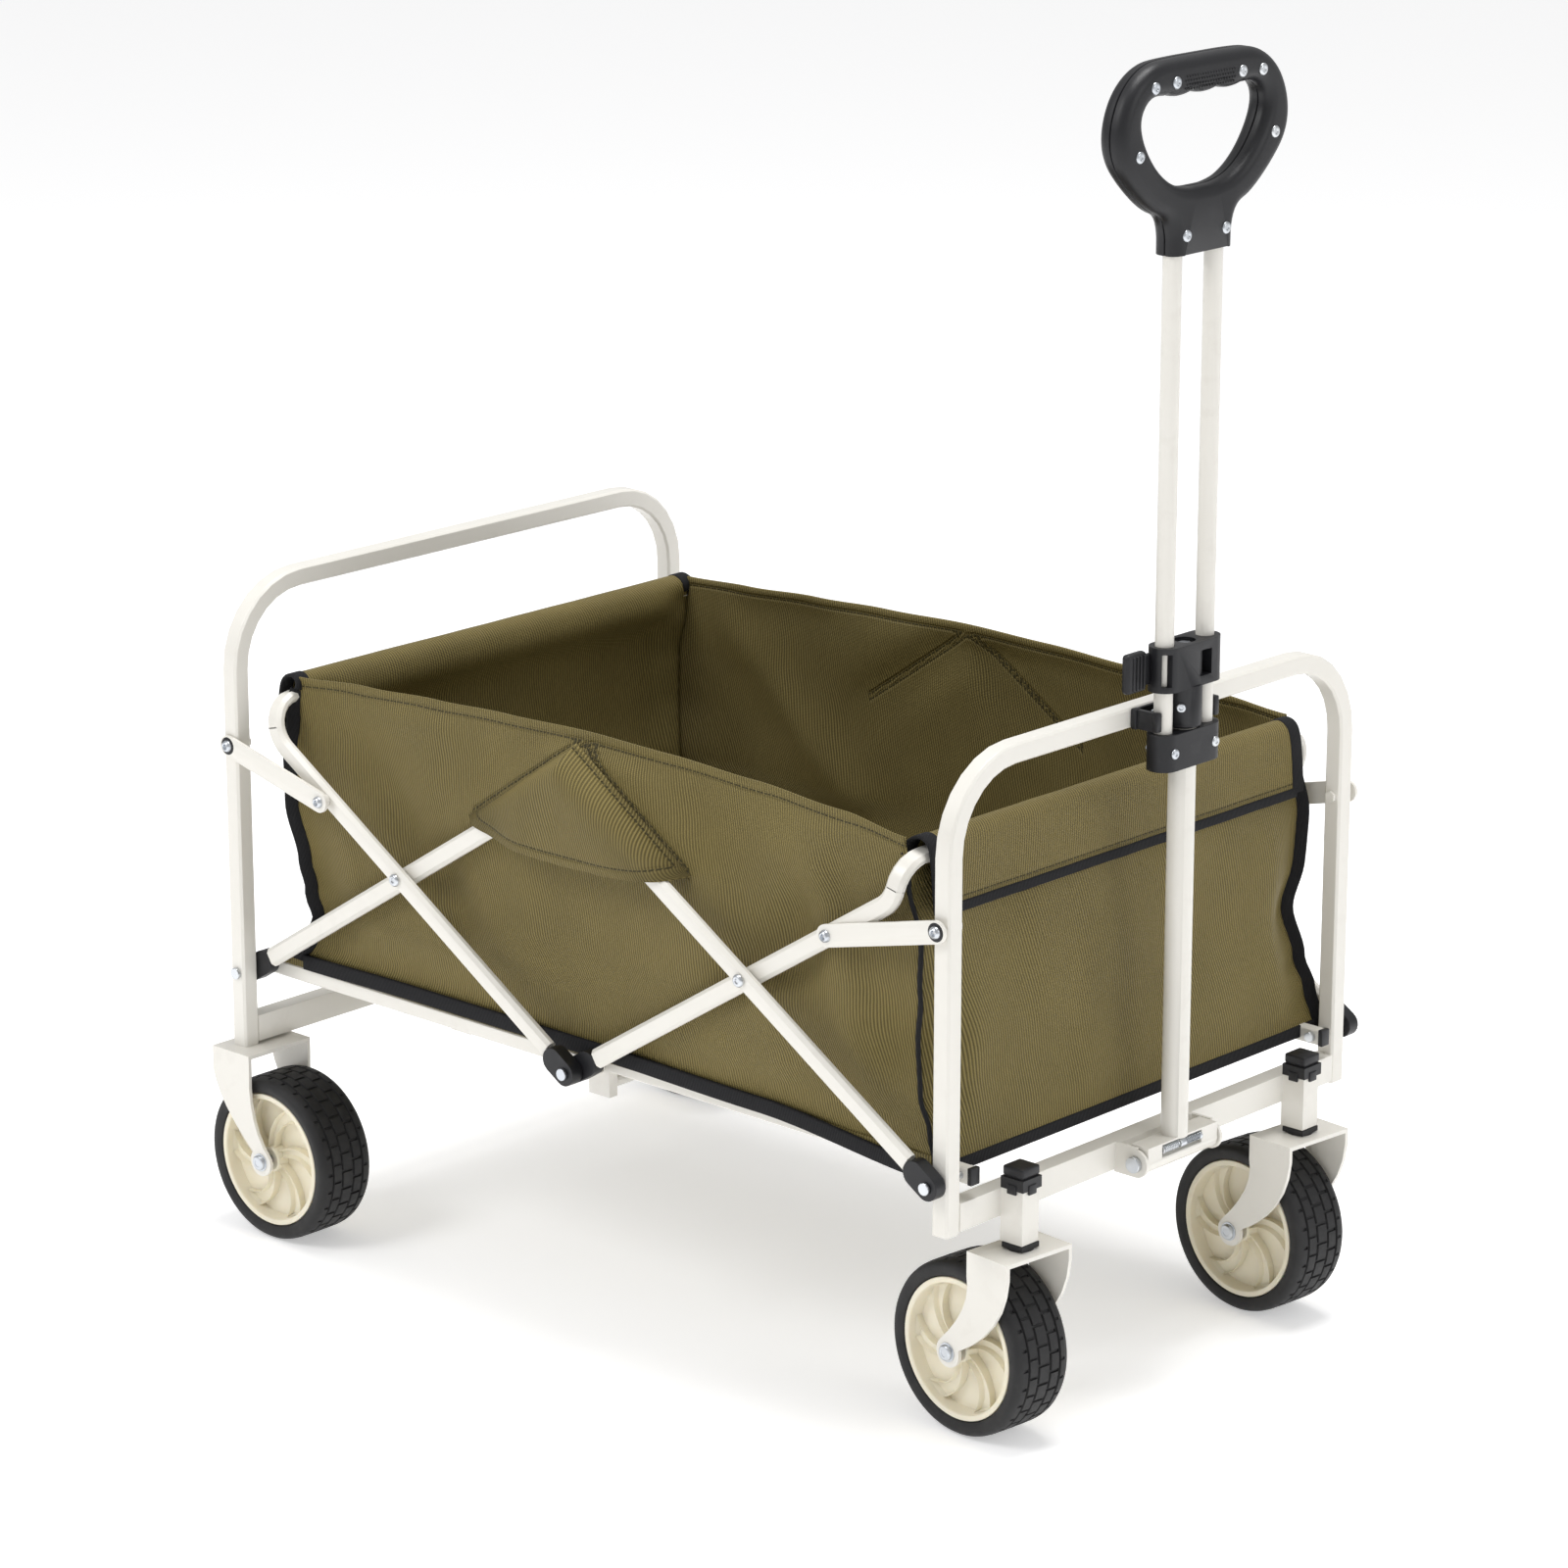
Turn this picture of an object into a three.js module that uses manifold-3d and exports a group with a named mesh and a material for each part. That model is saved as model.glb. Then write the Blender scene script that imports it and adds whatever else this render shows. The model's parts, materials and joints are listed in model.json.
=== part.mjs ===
// Folding utility wagon with a telescopic pull handle, in millimetres.
// +X is forwards (the handle end), +Y is the wagon's left, +Z is up, and the floor is Z = 0.
import * as THREE from 'three';
import { mergeVertices } from 'three/addons/utils/BufferGeometryUtils.js';
import Module from 'manifold-3d';

const wasm = await Module();
wasm.setup();

// ---- driving dimensions ----
const overallLength = 895.4;      // rear tyres to front tyres
const wheelRadius = 75;
const tyreWidth = 59;
const wallOfTube = 1.2;
const pinBore = 3.13;             // running fit on the 6 mm pins
const axleBore = 4.16;            // running fit on the 8 mm axles
const stemBore = 6.24;            // running fit on the 12 mm caster stems

const hoopTube = 17;              // square tube of both end frames
const hoopBend = 72;              // centre-line radius of the hoops' top corners
const legSpacing = 808;           // rear legs to front legs, open
const rearHalfWidth = 274;        // leg centres
const frontHalfWidth = 253;
const rearHoopTop = 598.5;
const frontHoopTop = 588;
const rearLegBottom = 171;
const frontLegBottom = 194;
const crossbarHeight = 24;

const pivotHeight = 240;          // all lower pivots of the scissors
const armRun = legSpacing / 4;    // half an arm, along X
const armRise = 128;              // half an arm, along Z
const armHeight = 17;             // flat-oval arm tube
const armWidth = 10;
const innerPlane = 259.9;         // middle of the arms next to the fabric
const outerPlane = 271.7;         // middle of the arms on the outside
const elbowInset = 52;            // the cross frames' arms bend upwards here, inside the leg lines
const elbowBend = 30;
const crossInset = 44;            // cross tubes, inside the leg lines
const crossHeight = 497;
const crossBend = 24;
const capHeight = 22;
const capWidth = 12;
const capReach = 27;              // from the pivot back over the arm's end

const linkPivotHeight = 450.6;    // links on the legs
const linkReach = 101.6;          // from the arm crossing to the link's pivot
const linkHeight = 19;

const rearRailPlane = 241.4;
const frontRailPlane = 230.4;
const railWidth = 10;
const railHeight = 14;

const rearAxleAhead = 40;         // rear axle, ahead of the rear legs
const rearWheelPlane = 260;
const casterAhead = 21;           // swivel axis, ahead of the front legs
const casterPlane = 185;
const casterTrail = 45;
const casterTube = 20.5;
const casterSteer = -5;           // degrees, how both casters stand at rest
const forkTop = 169;
const forkGap = 67;               // between the arms of a fork
const forkSheet = 3.5;

const handleTubeRadius = 11.3;
const twinTubeRadius = 7.8;
const twinSpacing = 52;
const handleThickness = 27;       // collar, clamp head and grip, along X
const handleAhead = 30;           // handle, ahead of the front legs
const handlePivotHeight = 206;
const collarBottom = 538;
const collarHeight = 31;
const clampBottom = 604;
const clampHeight = 37;
const gripBottom = 958;
const gripTop = 1114;
const gripHalfWidth = 104;

const clothThickness = 2.5;
const tubTop = 512;
const sleeveBottom = 478;
const rearPanelHalfWidth = 240;
const frontPanelHalfWidth = 230;
const tubBottom = 258;
const sideClothPlane = 249.7;
const floorTop = 254;

// ---- places worked out from them ----
const rearAxleX = -overallLength / 2 + wheelRadius;
const rearLegX = rearAxleX - rearAxleAhead;
const frontLegX = rearLegX + legSpacing;
const centreX = (rearLegX + frontLegX) / 2;
const handleX = frontLegX + handleAhead;
const casterX = frontLegX + casterAhead;
const armAngle = Math.atan2(armRise, armRun);
const halfArm = Math.hypot(armRun, armRise);
const rearCrossing = new THREE.Vector3(rearLegX + armRun, 0, pivotHeight + armRise);
const frontCrossing = new THREE.Vector3(frontLegX - armRun, 0, pivotHeight + armRise);
const peakHeight = pivotHeight + 2 * armRise;
const halfTube = hoopTube / 2;
const sides = [['left', 1], ['right', -1]];

// ---- finishes ----
const finish = (color, roughness, metalness) => (
  new THREE.MeshStandardMaterial({ color, roughness, metalness })
);
const creamPaint = () => finish('#ebe8df', 0.42, 0.1);
const blackPlastic = () => finish('#1d1d20', 0.5, 0);
const creamPlastic = () => finish('#eee3c4', 0.45, 0);
const tyreRubber = () => finish('#232326', 0.85, 0);
const zincSteel = () => finish('#b9bdc2', 0.35, 0.9);
const oliveCloth = () => finish('#7d7448', 0.9, 0);

const wagon = new THREE.Group();

function addPart(name, geometry, material) {
  const mesh = new THREE.Mesh(geometry, material);
  mesh.name = name;
  wagon.add(mesh);
  return mesh;
}

// ---- solids ----
function toSolid(geometry) {
  const bare = geometry.index ? geometry.toNonIndexed() : geometry.clone();
  bare.deleteAttribute('normal');
  bare.deleteAttribute('uv');
  const welded = mergeVertices(bare, 1e-4);
  return new wasm.Manifold(new wasm.Mesh({
    numProp: 3,
    vertProperties: new Float32Array(welded.attributes.position.array),
    triVerts: new Uint32Array(welded.index.array),
  }));
}

function toGeometry(solid) {
  const mesh = solid.getMesh();
  const geometry = new THREE.BufferGeometry();
  geometry.setAttribute('position', new THREE.BufferAttribute(new Float32Array(mesh.vertProperties), 3));
  geometry.setIndex(new THREE.BufferAttribute(new Uint32Array(mesh.triVerts), 1));
  geometry.computeVertexNormals();
  return geometry;
}

function join(...geometries) {
  return toGeometry(geometries.map(toSolid).reduce((all, next) => all.add(next)));
}

function cut(geometry, ...cutters) {
  return toGeometry(cutters.map(toSolid).reduce((left, next) => left.subtract(next), toSolid(geometry)));
}

function box(sizeX, sizeY, sizeZ, x, y, z) {
  return new THREE.BoxGeometry(sizeX, sizeY, sizeZ).translate(x, y, z);
}

// A round bar along Y between two Y values.
function barAlongY(radius, x, z, y0, y1, facets = 12) {
  const bar = new THREE.CylinderGeometry(radius, radius, Math.abs(y1 - y0), facets);
  return bar.translate(x, (y0 + y1) / 2, z);
}

// A round bar along Z between two Z values.
function barAlongZ(radius, x, y, z0, z1, facets = 16) {
  const bar = new THREE.CylinderGeometry(radius, radius, Math.abs(z1 - z0), facets);
  return bar.rotateX(Math.PI / 2).translate(x, y, (z0 + z1) / 2);
}

// A flat plate: an outline in X and Z, given its thickness along Y.
function plateAlongY(outline, y0, y1, curveSegments = 6) {
  const low = Math.min(y0, y1);
  const depth = Math.abs(y1 - y0);
  const plate = new THREE.ExtrudeGeometry(outline, { depth, bevelEnabled: false, curveSegments });
  return plate.rotateX(Math.PI / 2).translate(0, low + depth, 0);
}

// A bar with round ends, from one point to another in X and Z.
function roundEndedOutline(x0, z0, x1, z1, radius) {
  const angle = Math.atan2(z1 - z0, x1 - x0);
  const outline = new THREE.Shape();
  outline.absarc(x1, z1, radius, angle - Math.PI / 2, angle + Math.PI / 2, false);
  outline.absarc(x0, z0, radius, angle + Math.PI / 2, angle + 1.5 * Math.PI, false);
  outline.closePath();
  return outline;
}

// ---- tube sections, drawn across the tube ----
function cornered(width, height, corner, path) {
  const w = width / 2;
  const h = height / 2;
  path.moveTo(-w + corner, -h);
  path.lineTo(w - corner, -h);
  path.lineTo(w, -h + corner);
  path.lineTo(w, h - corner);
  path.lineTo(w - corner, h);
  path.lineTo(-w + corner, h);
  path.lineTo(-w, h - corner);
  path.lineTo(-w, -h + corner);
  path.closePath();
  return path;
}

function hollowSection(width, height, corner) {
  const section = cornered(width, height, corner, new THREE.Shape());
  const bore = cornered(width - 2 * wallOfTube, height - 2 * wallOfTube, corner * 0.7, new THREE.Path());
  section.holes.push(bore);
  return section;
}

// A path that gives exactly the stations it is made of, each with its own frame.
class StationPath extends THREE.Curve {
  constructor(stations) {
    super();
    this.stations = stations;
  }

  getPoint(t) {
    const index = Math.round(t * (this.stations.length - 1));
    return this.stations[index].point.clone();
  }

  getSpacedPoints() {
    return this.stations.map((station) => station.point.clone());
  }

  computeFrenetFrames() {
    const tangents = this.stations.map((station) => station.tangent);
    const binormals = this.stations.map((station) => station.side);
    const normals = this.stations.map(({ side, tangent }) => side.clone().cross(tangent).normalize());
    return { tangents, normals, binormals };
  }
}

// Straight runs between corner points, with a round bend at each inner corner.
// The section's upright runs along the side direction, which is carried round every bend.
function bentTube(corners, bendRadii, section, firstSide, stepsInBend = 7) {
  const last = corners.length - 1;
  const heading = (i) => corners[i + 1].clone().sub(corners[i]).normalize();
  let side = firstSide.clone();
  const stations = [{ point: corners[0].clone(), tangent: heading(0), side }];
  for (let i = 1; i < last; i += 1) {
    const before = heading(i - 1);
    const turn = before.angleTo(heading(i));
    const axis = before.clone().cross(heading(i)).normalize();
    const inward = axis.clone().cross(before);
    const radius = bendRadii[i - 1];
    const start = corners[i].clone().addScaledVector(before, -radius * Math.tan(turn / 2));
    for (let step = 0; step <= stepsInBend; step += 1) {
      const angle = turn * step / stepsInBend;
      const place = start.clone().addScaledVector(before, radius * Math.sin(angle));
      place.addScaledVector(inward, radius * (1 - Math.cos(angle)));
      const tangent = before.clone().applyAxisAngle(axis, angle);
      stations.push({ point: place, tangent, side: side.clone().applyAxisAngle(axis, angle) });
    }
    side = side.clone().applyAxisAngle(axis, turn);
  }
  stations.push({ point: corners[last].clone(), tangent: heading(last - 1), side });
  const extrudePath = new StationPath(stations);
  const steps = stations.length - 1;
  return new THREE.ExtrudeGeometry(section, { steps, extrudePath, bevelEnabled: false });
}

const point = (x, y, z) => new THREE.Vector3(x, y, z);

// ---- end frames ----
function hoop(x, halfWidth, bottom, top) {
  const corners = [
    point(x, -halfWidth, bottom),
    point(x, -halfWidth, top - halfTube),
    point(x, halfWidth, top - halfTube),
    point(x, halfWidth, bottom),
  ];
  return bentTube(corners, [hoopBend, hoopBend], hollowSection(hoopTube, hoopTube, 2), point(1, 0, 0));
}

// One cheek of a wheel fork: wide under the top plate, curving to a round end at the axle.
function forkCheek(frontX, backX, axleX, axleZ, tipRadius, top) {
  const outline = new THREE.Shape();
  const lowFront = point(axleX + tipRadius * 0.94, 0, axleZ + tipRadius * 0.34);
  const lowBack = point(axleX - tipRadius * 0.8, 0, axleZ + tipRadius * 0.6);
  outline.moveTo(backX, top);
  outline.lineTo(frontX, top);
  outline.lineTo(frontX, top - 14);
  outline.quadraticCurveTo(frontX - 4, axleZ + 32, lowFront.x, lowFront.z);
  const from = Math.atan2(lowFront.z - axleZ, lowFront.x - axleX);
  const to = Math.atan2(lowBack.z - axleZ, lowBack.x - axleX) - 2 * Math.PI;
  outline.absarc(axleX, axleZ, tipRadius, from, to, true);
  outline.quadraticCurveTo(backX + 7, axleZ + 45, backX, top - 22);
  outline.closePath();
  return outline;
}

// A pressed fork: two cheeks under a top plate, bored for the axle.
function fork(frontX, backX, axleX, middleY, top) {
  const outer = forkGap / 2 + forkSheet;
  const inner = forkGap / 2;
  const outline = forkCheek(frontX, backX, axleX, wheelRadius, 13, top);
  const solid = join(
    plateAlongY(outline, middleY + inner, middleY + outer),
    plateAlongY(outline, middleY - outer, middleY - inner),
    box(frontX - backX, 2 * outer, forkSheet, (frontX + backX) / 2, middleY, top - forkSheet / 2),
  );
  return cut(solid, barAlongY(axleBore, axleX, wheelRadius, middleY - outer - 1, middleY + outer + 1));
}

function rearFrame() {
  const barTop = rearLegBottom + 3 + crossbarHeight;
  const pieces = [hoop(rearLegX, rearHalfWidth, rearLegBottom, rearHoopTop)];
  const barLength = 2 * (rearHalfWidth - halfTube) + 1;
  pieces.push(box(hoopTube, barLength, crossbarHeight, rearLegX, 0, barTop - crossbarHeight / 2));
  for (const [, side] of sides) {
    pieces.push(fork(rearLegX + 28, rearLegX - 20, rearAxleX, side * rearWheelPlane, rearLegBottom + 0.5));
  }
  const bores = sides.flatMap(([, side]) => {
    const leg = side * rearHalfWidth;
    return [
      barAlongY(pinBore, rearLegX, pivotHeight, leg - 12, leg + 12),
      barAlongY(pinBore, rearLegX, linkPivotHeight, leg - 12, leg + 12),
    ];
  });
  return cut(join(...pieces), ...bores);
}

// The handle's foot bracket on the front crossbar: a back plate with two cheeks.
function handleBracket() {
  const back = frontLegX + halfTube;
  const outline = new THREE.Shape();
  outline.moveTo(back - 1, handlePivotHeight + 14);
  outline.lineTo(handleX + 2, handlePivotHeight + 14);
  outline.absarc(handleX, handlePivotHeight, 12, Math.PI / 2, -Math.PI / 2, true);
  outline.lineTo(back - 1, handlePivotHeight - 12);
  outline.closePath();
  const cheeks = sides.map(([, side]) => plateAlongY(outline, side * 47, side * 50));
  return join(box(3, 100, 26, back + 1.2, 0, handlePivotHeight + 1), ...cheeks);
}

function frontFrame() {
  const barBottom = frontLegBottom + 2;
  const barMiddle = barBottom + crossbarHeight / 2;
  const tubeTop = barBottom + crossbarHeight + 1;
  const tubeBottom = forkTop + 6;
  const barLength = 2 * (frontHalfWidth - halfTube) + 1;
  const pieces = [
    hoop(frontLegX, frontHalfWidth, frontLegBottom, frontHoopTop),
    box(hoopTube, barLength, crossbarHeight, frontLegX, 0, barMiddle),
    handleBracket(),
  ];
  const bores = [barAlongY(axleBore, handleX, handlePivotHeight, -60, 60)];
  for (const [, side] of sides) {
    const leg = side * frontHalfWidth;
    const y = side * casterPlane;
    const height = tubeTop - tubeBottom;
    pieces.push(box(casterTube + 3, casterTube, height, casterX - 1.5, y, (tubeTop + tubeBottom) / 2));
    bores.push(barAlongZ(8.4, casterX, y, tubeBottom - 1, tubeTop + 1, 12));
    bores.push(barAlongY(pinBore, frontLegX, pivotHeight, leg - 12, leg + 12));
    bores.push(barAlongY(pinBore, frontLegX, linkPivotHeight, leg - 12, leg + 12));
  }
  return cut(join(...pieces), ...bores);
}

// ---- scissor arms ----
const armSection = () => hollowSection(armHeight, armWidth, 3.2);

// The unit direction of an arm that climbs forwards (+1) or backwards (-1).
const climb = (forwards) => point(forwards * Math.cos(armAngle), 0, Math.sin(armAngle));

// One straight arm from above its lower pivot to past its upper pivot.
function straightArm(lowX, y, forwards) {
  const along = climb(forwards);
  const start = point(lowX, y, pivotHeight).addScaledVector(along, capReach + 0.3);
  const end = point(lowX, y, pivotHeight).addScaledVector(along, 2 * halfArm + armHeight / 2);
  return bentTube([start, end], [], armSection(), point(0, 1, 0));
}

function bore(x, z, y) {
  return barAlongY(pinBore, x, z, y - 12, y + 12);
}

// A riveted pin: a shank through both arms with a head on the inside.
function rivet(x, z, side) {
  const outside = outerPlane + armWidth / 2;
  const inside = innerPlane - armWidth / 2;
  return join(
    barAlongY(3, x, z, side * (inside - 1.8), side * (outside + 1.8)),
    barAlongY(4.6, x, z, side * (inside - 1.8), side * (inside - 0.4)),
  );
}

// A short tie that fixes a rivet's shank to the arm it belongs to.
function collarInArm(x, z, plane, side) {
  return barAlongY(4.6, x, z, side * (plane - armWidth / 2 + 0.1), side * (plane + armWidth / 2 + 0.6));
}

// Rear arms climb from the rear legs to the peaks, in the inner planes.
function rearArm(side) {
  const y = side * innerPlane;
  const arm = straightArm(rearLegX, y, 1);
  return cut(arm, bore(rearCrossing.x, rearCrossing.z, y), bore(centreX, peakHeight, y));
}

// Front arms climb from the front legs to the peaks, in the outer planes.
// They carry the rivets at the peaks and at the front crossings.
function frontArm(side) {
  const arm = straightArm(frontLegX, side * outerPlane, -1);
  const pins = [[frontCrossing.x, frontCrossing.z], [centreX, peakHeight]];
  const solids = pins.flatMap(([x, z]) => [rivet(x, z, side), collarInArm(x, z, outerPlane, side)]);
  return join(arm, ...solids);
}

// A cross frame: two arms climbing from the centre, bent upwards, then joined across the top.
function crossFrame(plane, forwards) {
  const along = climb(forwards);
  const toElbow = (armRun * 2 - elbowInset) / Math.cos(armAngle);
  const low = (y) => point(centreX, y, pivotHeight).addScaledVector(along, capReach + 0.3);
  const elbow = (y) => point(centreX, y, pivotHeight).addScaledVector(along, toElbow);
  const top = (y) => point(centreX + forwards * (2 * armRun - crossInset), y, crossHeight);
  const corners = [low(-plane), elbow(-plane), top(-plane), top(plane), elbow(plane), low(plane)];
  const bends = [elbowBend, crossBend, crossBend, elbowBend];
  return bentTube(corners, bends, armSection(), point(0, 1, 0), 5);
}

// The rear cross frame lies in the outer planes and carries the rivets of the rear crossings.
function rearCrossFrame() {
  const frame = crossFrame(outerPlane, -1);
  const { x, z } = rearCrossing;
  const solids = sides.flatMap(([, side]) => [rivet(x, z, side), collarInArm(x, z, outerPlane, side)]);
  return join(frame, ...solids);
}

function frontCrossFrame() {
  const frame = crossFrame(innerPlane, 1);
  return cut(frame, ...sides.map(([, side]) => bore(frontCrossing.x, frontCrossing.z, side * innerPlane)));
}

// A plastic end cap over an arm's lower end, with a round nose and a bore for the pivot bolt.
function endCap(x, plane, side, forwards) {
  const along = climb(forwards);
  const nose = capHeight / 2;
  const far = point(x, 0, pivotHeight).addScaledVector(along, capReach - nose);
  const outline = roundEndedOutline(x, pivotHeight, far.x, far.z, nose);
  const cap = plateAlongY(outline, side * (plane - capWidth / 2), side * (plane + capWidth / 2));
  const square = point(x, 0, pivotHeight).addScaledVector(along, capReach + 20);
  const trim = new THREE.BoxGeometry(40, capWidth + 2, 40);
  trim.rotateY(-forwards * armAngle).translate(square.x, side * plane, square.z);
  return cut(cap, trim, bore(x, pivotHeight, side * plane));
}

// A pivot bolt along Y with a head outside and a nut inside.
function pivotBolt(x, z, side, inside, outside) {
  return join(
    barAlongY(3, x, z, side * inside, side * outside),
    barAlongY(5.4, x, z, side * outside, side * (outside + 3), 12),
    barAlongY(5, x, z, side * (inside - 4), side * inside, 6),
  );
}

// ---- links between the legs and the cross frames ----
// A flat link outside the leg, with a pin through the leg and a spacer against the cross frame's arm.
function link(legX, legPlane, armPlane, forwards, side) {
  const pinX = legX + forwards * (armRun - linkReach * Math.cos(armAngle));
  const pinZ = pivotHeight + armRise + linkReach * Math.sin(armAngle);
  const armFace = armPlane + armWidth / 2;
  const face = Math.max(legPlane + halfTube, armFace) + 0.5;
  const outline = roundEndedOutline(legX, linkPivotHeight, pinX, pinZ, linkHeight / 2);
  const heads = [[legX, linkPivotHeight], [pinX, pinZ]].map(([x, z]) => (
    barAlongY(4.6, x, z, side * (face + 2.5), side * (face + 4.4), 12)
  ));
  const legInside = legPlane - halfTube - 0.4;
  return join(
    plateAlongY(outline, side * face, side * (face + 3)),
    ...heads,
    barAlongY(5.5, pinX, pinZ, side * (armFace + 0.35), side * (face + 0.5), 12),
    barAlongY(3, legX, linkPivotHeight, side * (legInside - 2), side * (face + 1)),
    barAlongY(5, legX, linkPivotHeight, side * (legInside - 3), side * legInside, 6),
  );
}

// ---- floor rails ----
// A rail runs from a leg's lower pivot to the centre of the wagon.
function rail(legX, plane) {
  const forwards = Math.sign(centreX - legX);
  const section = hollowSection(railHeight, railWidth, 1.5);
  const path = [-9, Math.abs(centreX - legX) + 8].map((u) => point(legX + forwards * u, plane, pivotHeight));
  return cut(bentTube(path, [], section, point(0, 1, 0)), bore(legX, pivotHeight, plane));
}

// The rear rails are tied by a thin flat strip under the floor board.
function rearRailFrame() {
  const tieX = rearLegX + legSpacing * 0.3;
  const tie = box(24, 2 * rearRailPlane, 3, tieX, 0, pivotHeight - railHeight / 2 - 1);
  return join(rail(rearLegX, rearRailPlane), rail(rearLegX, -rearRailPlane), tie);
}

// The front rails carry drop brackets and the cross tube at the centre.
function frontRailFrame() {
  const tubeZ = pivotHeight - 20;
  const pieces = [barAlongY(7, centreX, tubeZ, -frontRailPlane, frontRailPlane, 12)];
  for (const [, side] of sides) {
    pieces.push(rail(frontLegX, side * frontRailPlane));
    pieces.push(box(24, railWidth, 26, centreX, side * frontRailPlane, tubeZ + 3));
  }
  return join(...pieces);
}

// ---- wheels ----
// A ring turned about Y from a closed profile of (radius, width) points.
function turned(profile, facets) {
  const points = profile.map(([radius, width]) => new THREE.Vector2(radius, width));
  points.push(points[0].clone());
  return new THREE.LatheGeometry(points, facets);
}

function tyre() {
  const half = tyreWidth / 2;
  const bead = 61.5;
  return turned([
    [bead, -half + 3], [wheelRadius - 6, -half], [wheelRadius, -half + 10],
    [wheelRadius, half - 10], [wheelRadius - 6, half], [bead, half - 3],
  ], 32);
}

// The hub: a rim, a web set back from both faces and a bored boss.
function hub() {
  const half = tyreWidth / 2;
  return turned([
    [axleBore, -half + 1], [12, -half + 1], [12, -9], [54, -9], [54, -half + 2], [60.5, -half + 2],
    [60.5, half - 2], [54, half - 2], [54, 9], [12, 9], [12, half - 1], [axleBore, half - 1],
  ], 20);
}

function axleBolt() {
  const reach = forkGap / 2 + forkSheet;
  return join(
    barAlongY(4, 0, 0, -reach - 0.5, reach + 0.5),
    barAlongY(6.6, 0, 0, -reach - 3.6, -reach - 0.4, 12),
    barAlongY(6.6, 0, 0, reach + 0.4, reach + 3.6, 6),
  );
}

function addWheel(place, side, holder) {
  const wheelParts = [
    [`${place}_hub_${side}`, hub(), creamPlastic()],
    [`${place}_tyre_${side}`, tyre(), tyreRubber()],
    [`${place}_axle_bolt_${side}`, axleBolt(), zincSteel()],
  ];
  for (const [name, geometry, material] of wheelParts) {
    const mesh = new THREE.Mesh(geometry, material);
    mesh.name = name;
    holder.add(mesh);
  }
}

// A caster's fork with its stem, drawn about the swivel axis.
function casterFork() {
  const plate = fork(22, -24, -casterTrail, 0, forkTop);
  return join(plate, barAlongZ(6, 0, 0, forkTop - 1, forkTop + 58, 12));
}

// The caster tube's plastic liner: cap on top, sleeve through the tube, square bush below.
function casterLiner(x, y) {
  const tubeBottom = forkTop + 6;
  const tubeTop = frontLegBottom + 3 + crossbarHeight;
  const capSize = casterTube + 3;
  const solid = join(
    box(capSize, capSize, 10, x, y, tubeTop + 0.3 + 5),
    box(casterTube - 1, casterTube - 1, 9, x, y, tubeTop + 14),
    barAlongZ(8, x, y, tubeBottom - 3, tubeTop + 3, 12),
    box(casterTube + 1, casterTube + 1, 4.5, x, y, tubeBottom - 0.4 - 2.25),
  );
  return cut(solid, barAlongZ(stemBore, x, y, tubeBottom - 8, forkTop + 58.4, 12));
}

// ---- handle ----
// A slab with round ends in Y, as thick as the handle along X.
function handleSlab(halfLength, bottom, top, thickness = handleThickness) {
  const radius = thickness / 2;
  const outline = new THREE.Shape();
  outline.absarc(0, halfLength - radius, radius, 0, Math.PI, false);
  outline.absarc(0, radius - halfLength, radius, Math.PI, 2 * Math.PI, false);
  outline.closePath();
  const depth = top - bottom;
  const slab = new THREE.ExtrudeGeometry(outline, { depth, bevelEnabled: false, curveSegments: 6 });
  return slab.translate(handleX, 0, bottom);
}

const twinBores = (low, high, clearance) => sides.map(([, side]) => (
  barAlongZ(twinTubeRadius + clearance, handleX, side * twinSpacing / 2, low, high)
));

// The lower tube stands on a cross foot that turns on the pivot bolt. The foot has a window for its springs.
function lowerTube() {
  const tube = join(
    barAlongZ(handleTubeRadius, handleX, 0, handlePivotHeight + 4, clampBottom - 32, 20),
    barAlongY(10, handleX, handlePivotHeight, -45.5, 45.5),
    box(19, 91, 16, handleX, 0, handlePivotHeight + 6),
  );
  const boreRadius = handleTubeRadius - wallOfTube;
  const hollow = barAlongZ(boreRadius, handleX, 0, handlePivotHeight + 16, clampBottom, 20);
  const window = box(8, 52, 11, handleX + 9, -1, handlePivotHeight + 7);
  return cut(tube, hollow, window, barAlongY(axleBore, handleX, handlePivotHeight, -46, 46));
}

function handlePivotBolt() {
  return join(
    barAlongY(4, handleX, handlePivotHeight, -52, 52),
    barAlongY(7, handleX, handlePivotHeight, -55, -50.4, 12),
    barAlongY(6.6, handleX, handlePivotHeight, 50.4, 55, 6),
  );
}

// The clamp head grips the twin tubes and is plugged into the lower tube by its sleeve.
function clampHead() {
  const top = clampBottom + clampHeight;
  const plugRadius = handleTubeRadius - wallOfTube - 0.4;
  const solid = join(
    handleSlab(38.5, clampBottom, top),
    barAlongZ(15.2, handleX, 0, clampBottom - 31, clampBottom + 1, 20),
    barAlongZ(plugRadius, handleX, 0, clampBottom - 60, clampBottom, 20),
  );
  const leverSlot = box(9, 24, clampHeight - 11, handleX - 10, -31, clampBottom + clampHeight / 2);
  const window = box(12, 9, clampHeight - 16, handleX + 10, 14, clampBottom + clampHeight / 2);
  return cut(solid, ...twinBores(clampBottom - 1, top + 1, 0.5), leverSlot, window);
}

// The cam lever turns on an upright axis at the clamp head's right end.
function camLever() {
  const outline = new THREE.Shape();
  outline.moveTo(handleX - 13, -42);
  outline.lineTo(handleX - 7, -42);
  outline.lineTo(handleX - 4, -66);
  outline.lineTo(handleX - 12, -66);
  outline.closePath();
  const blade = new THREE.ExtrudeGeometry(outline, { depth: clampHeight - 4, bevelEnabled: false });
  blade.translate(0, 0, clampBottom + 2);
  const middle = clampBottom + clampHeight / 2;
  const nose = box(5, 18, clampHeight - 14, handleX - 10.4, -36, middle);
  return join(blade, nose);
}

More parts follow.
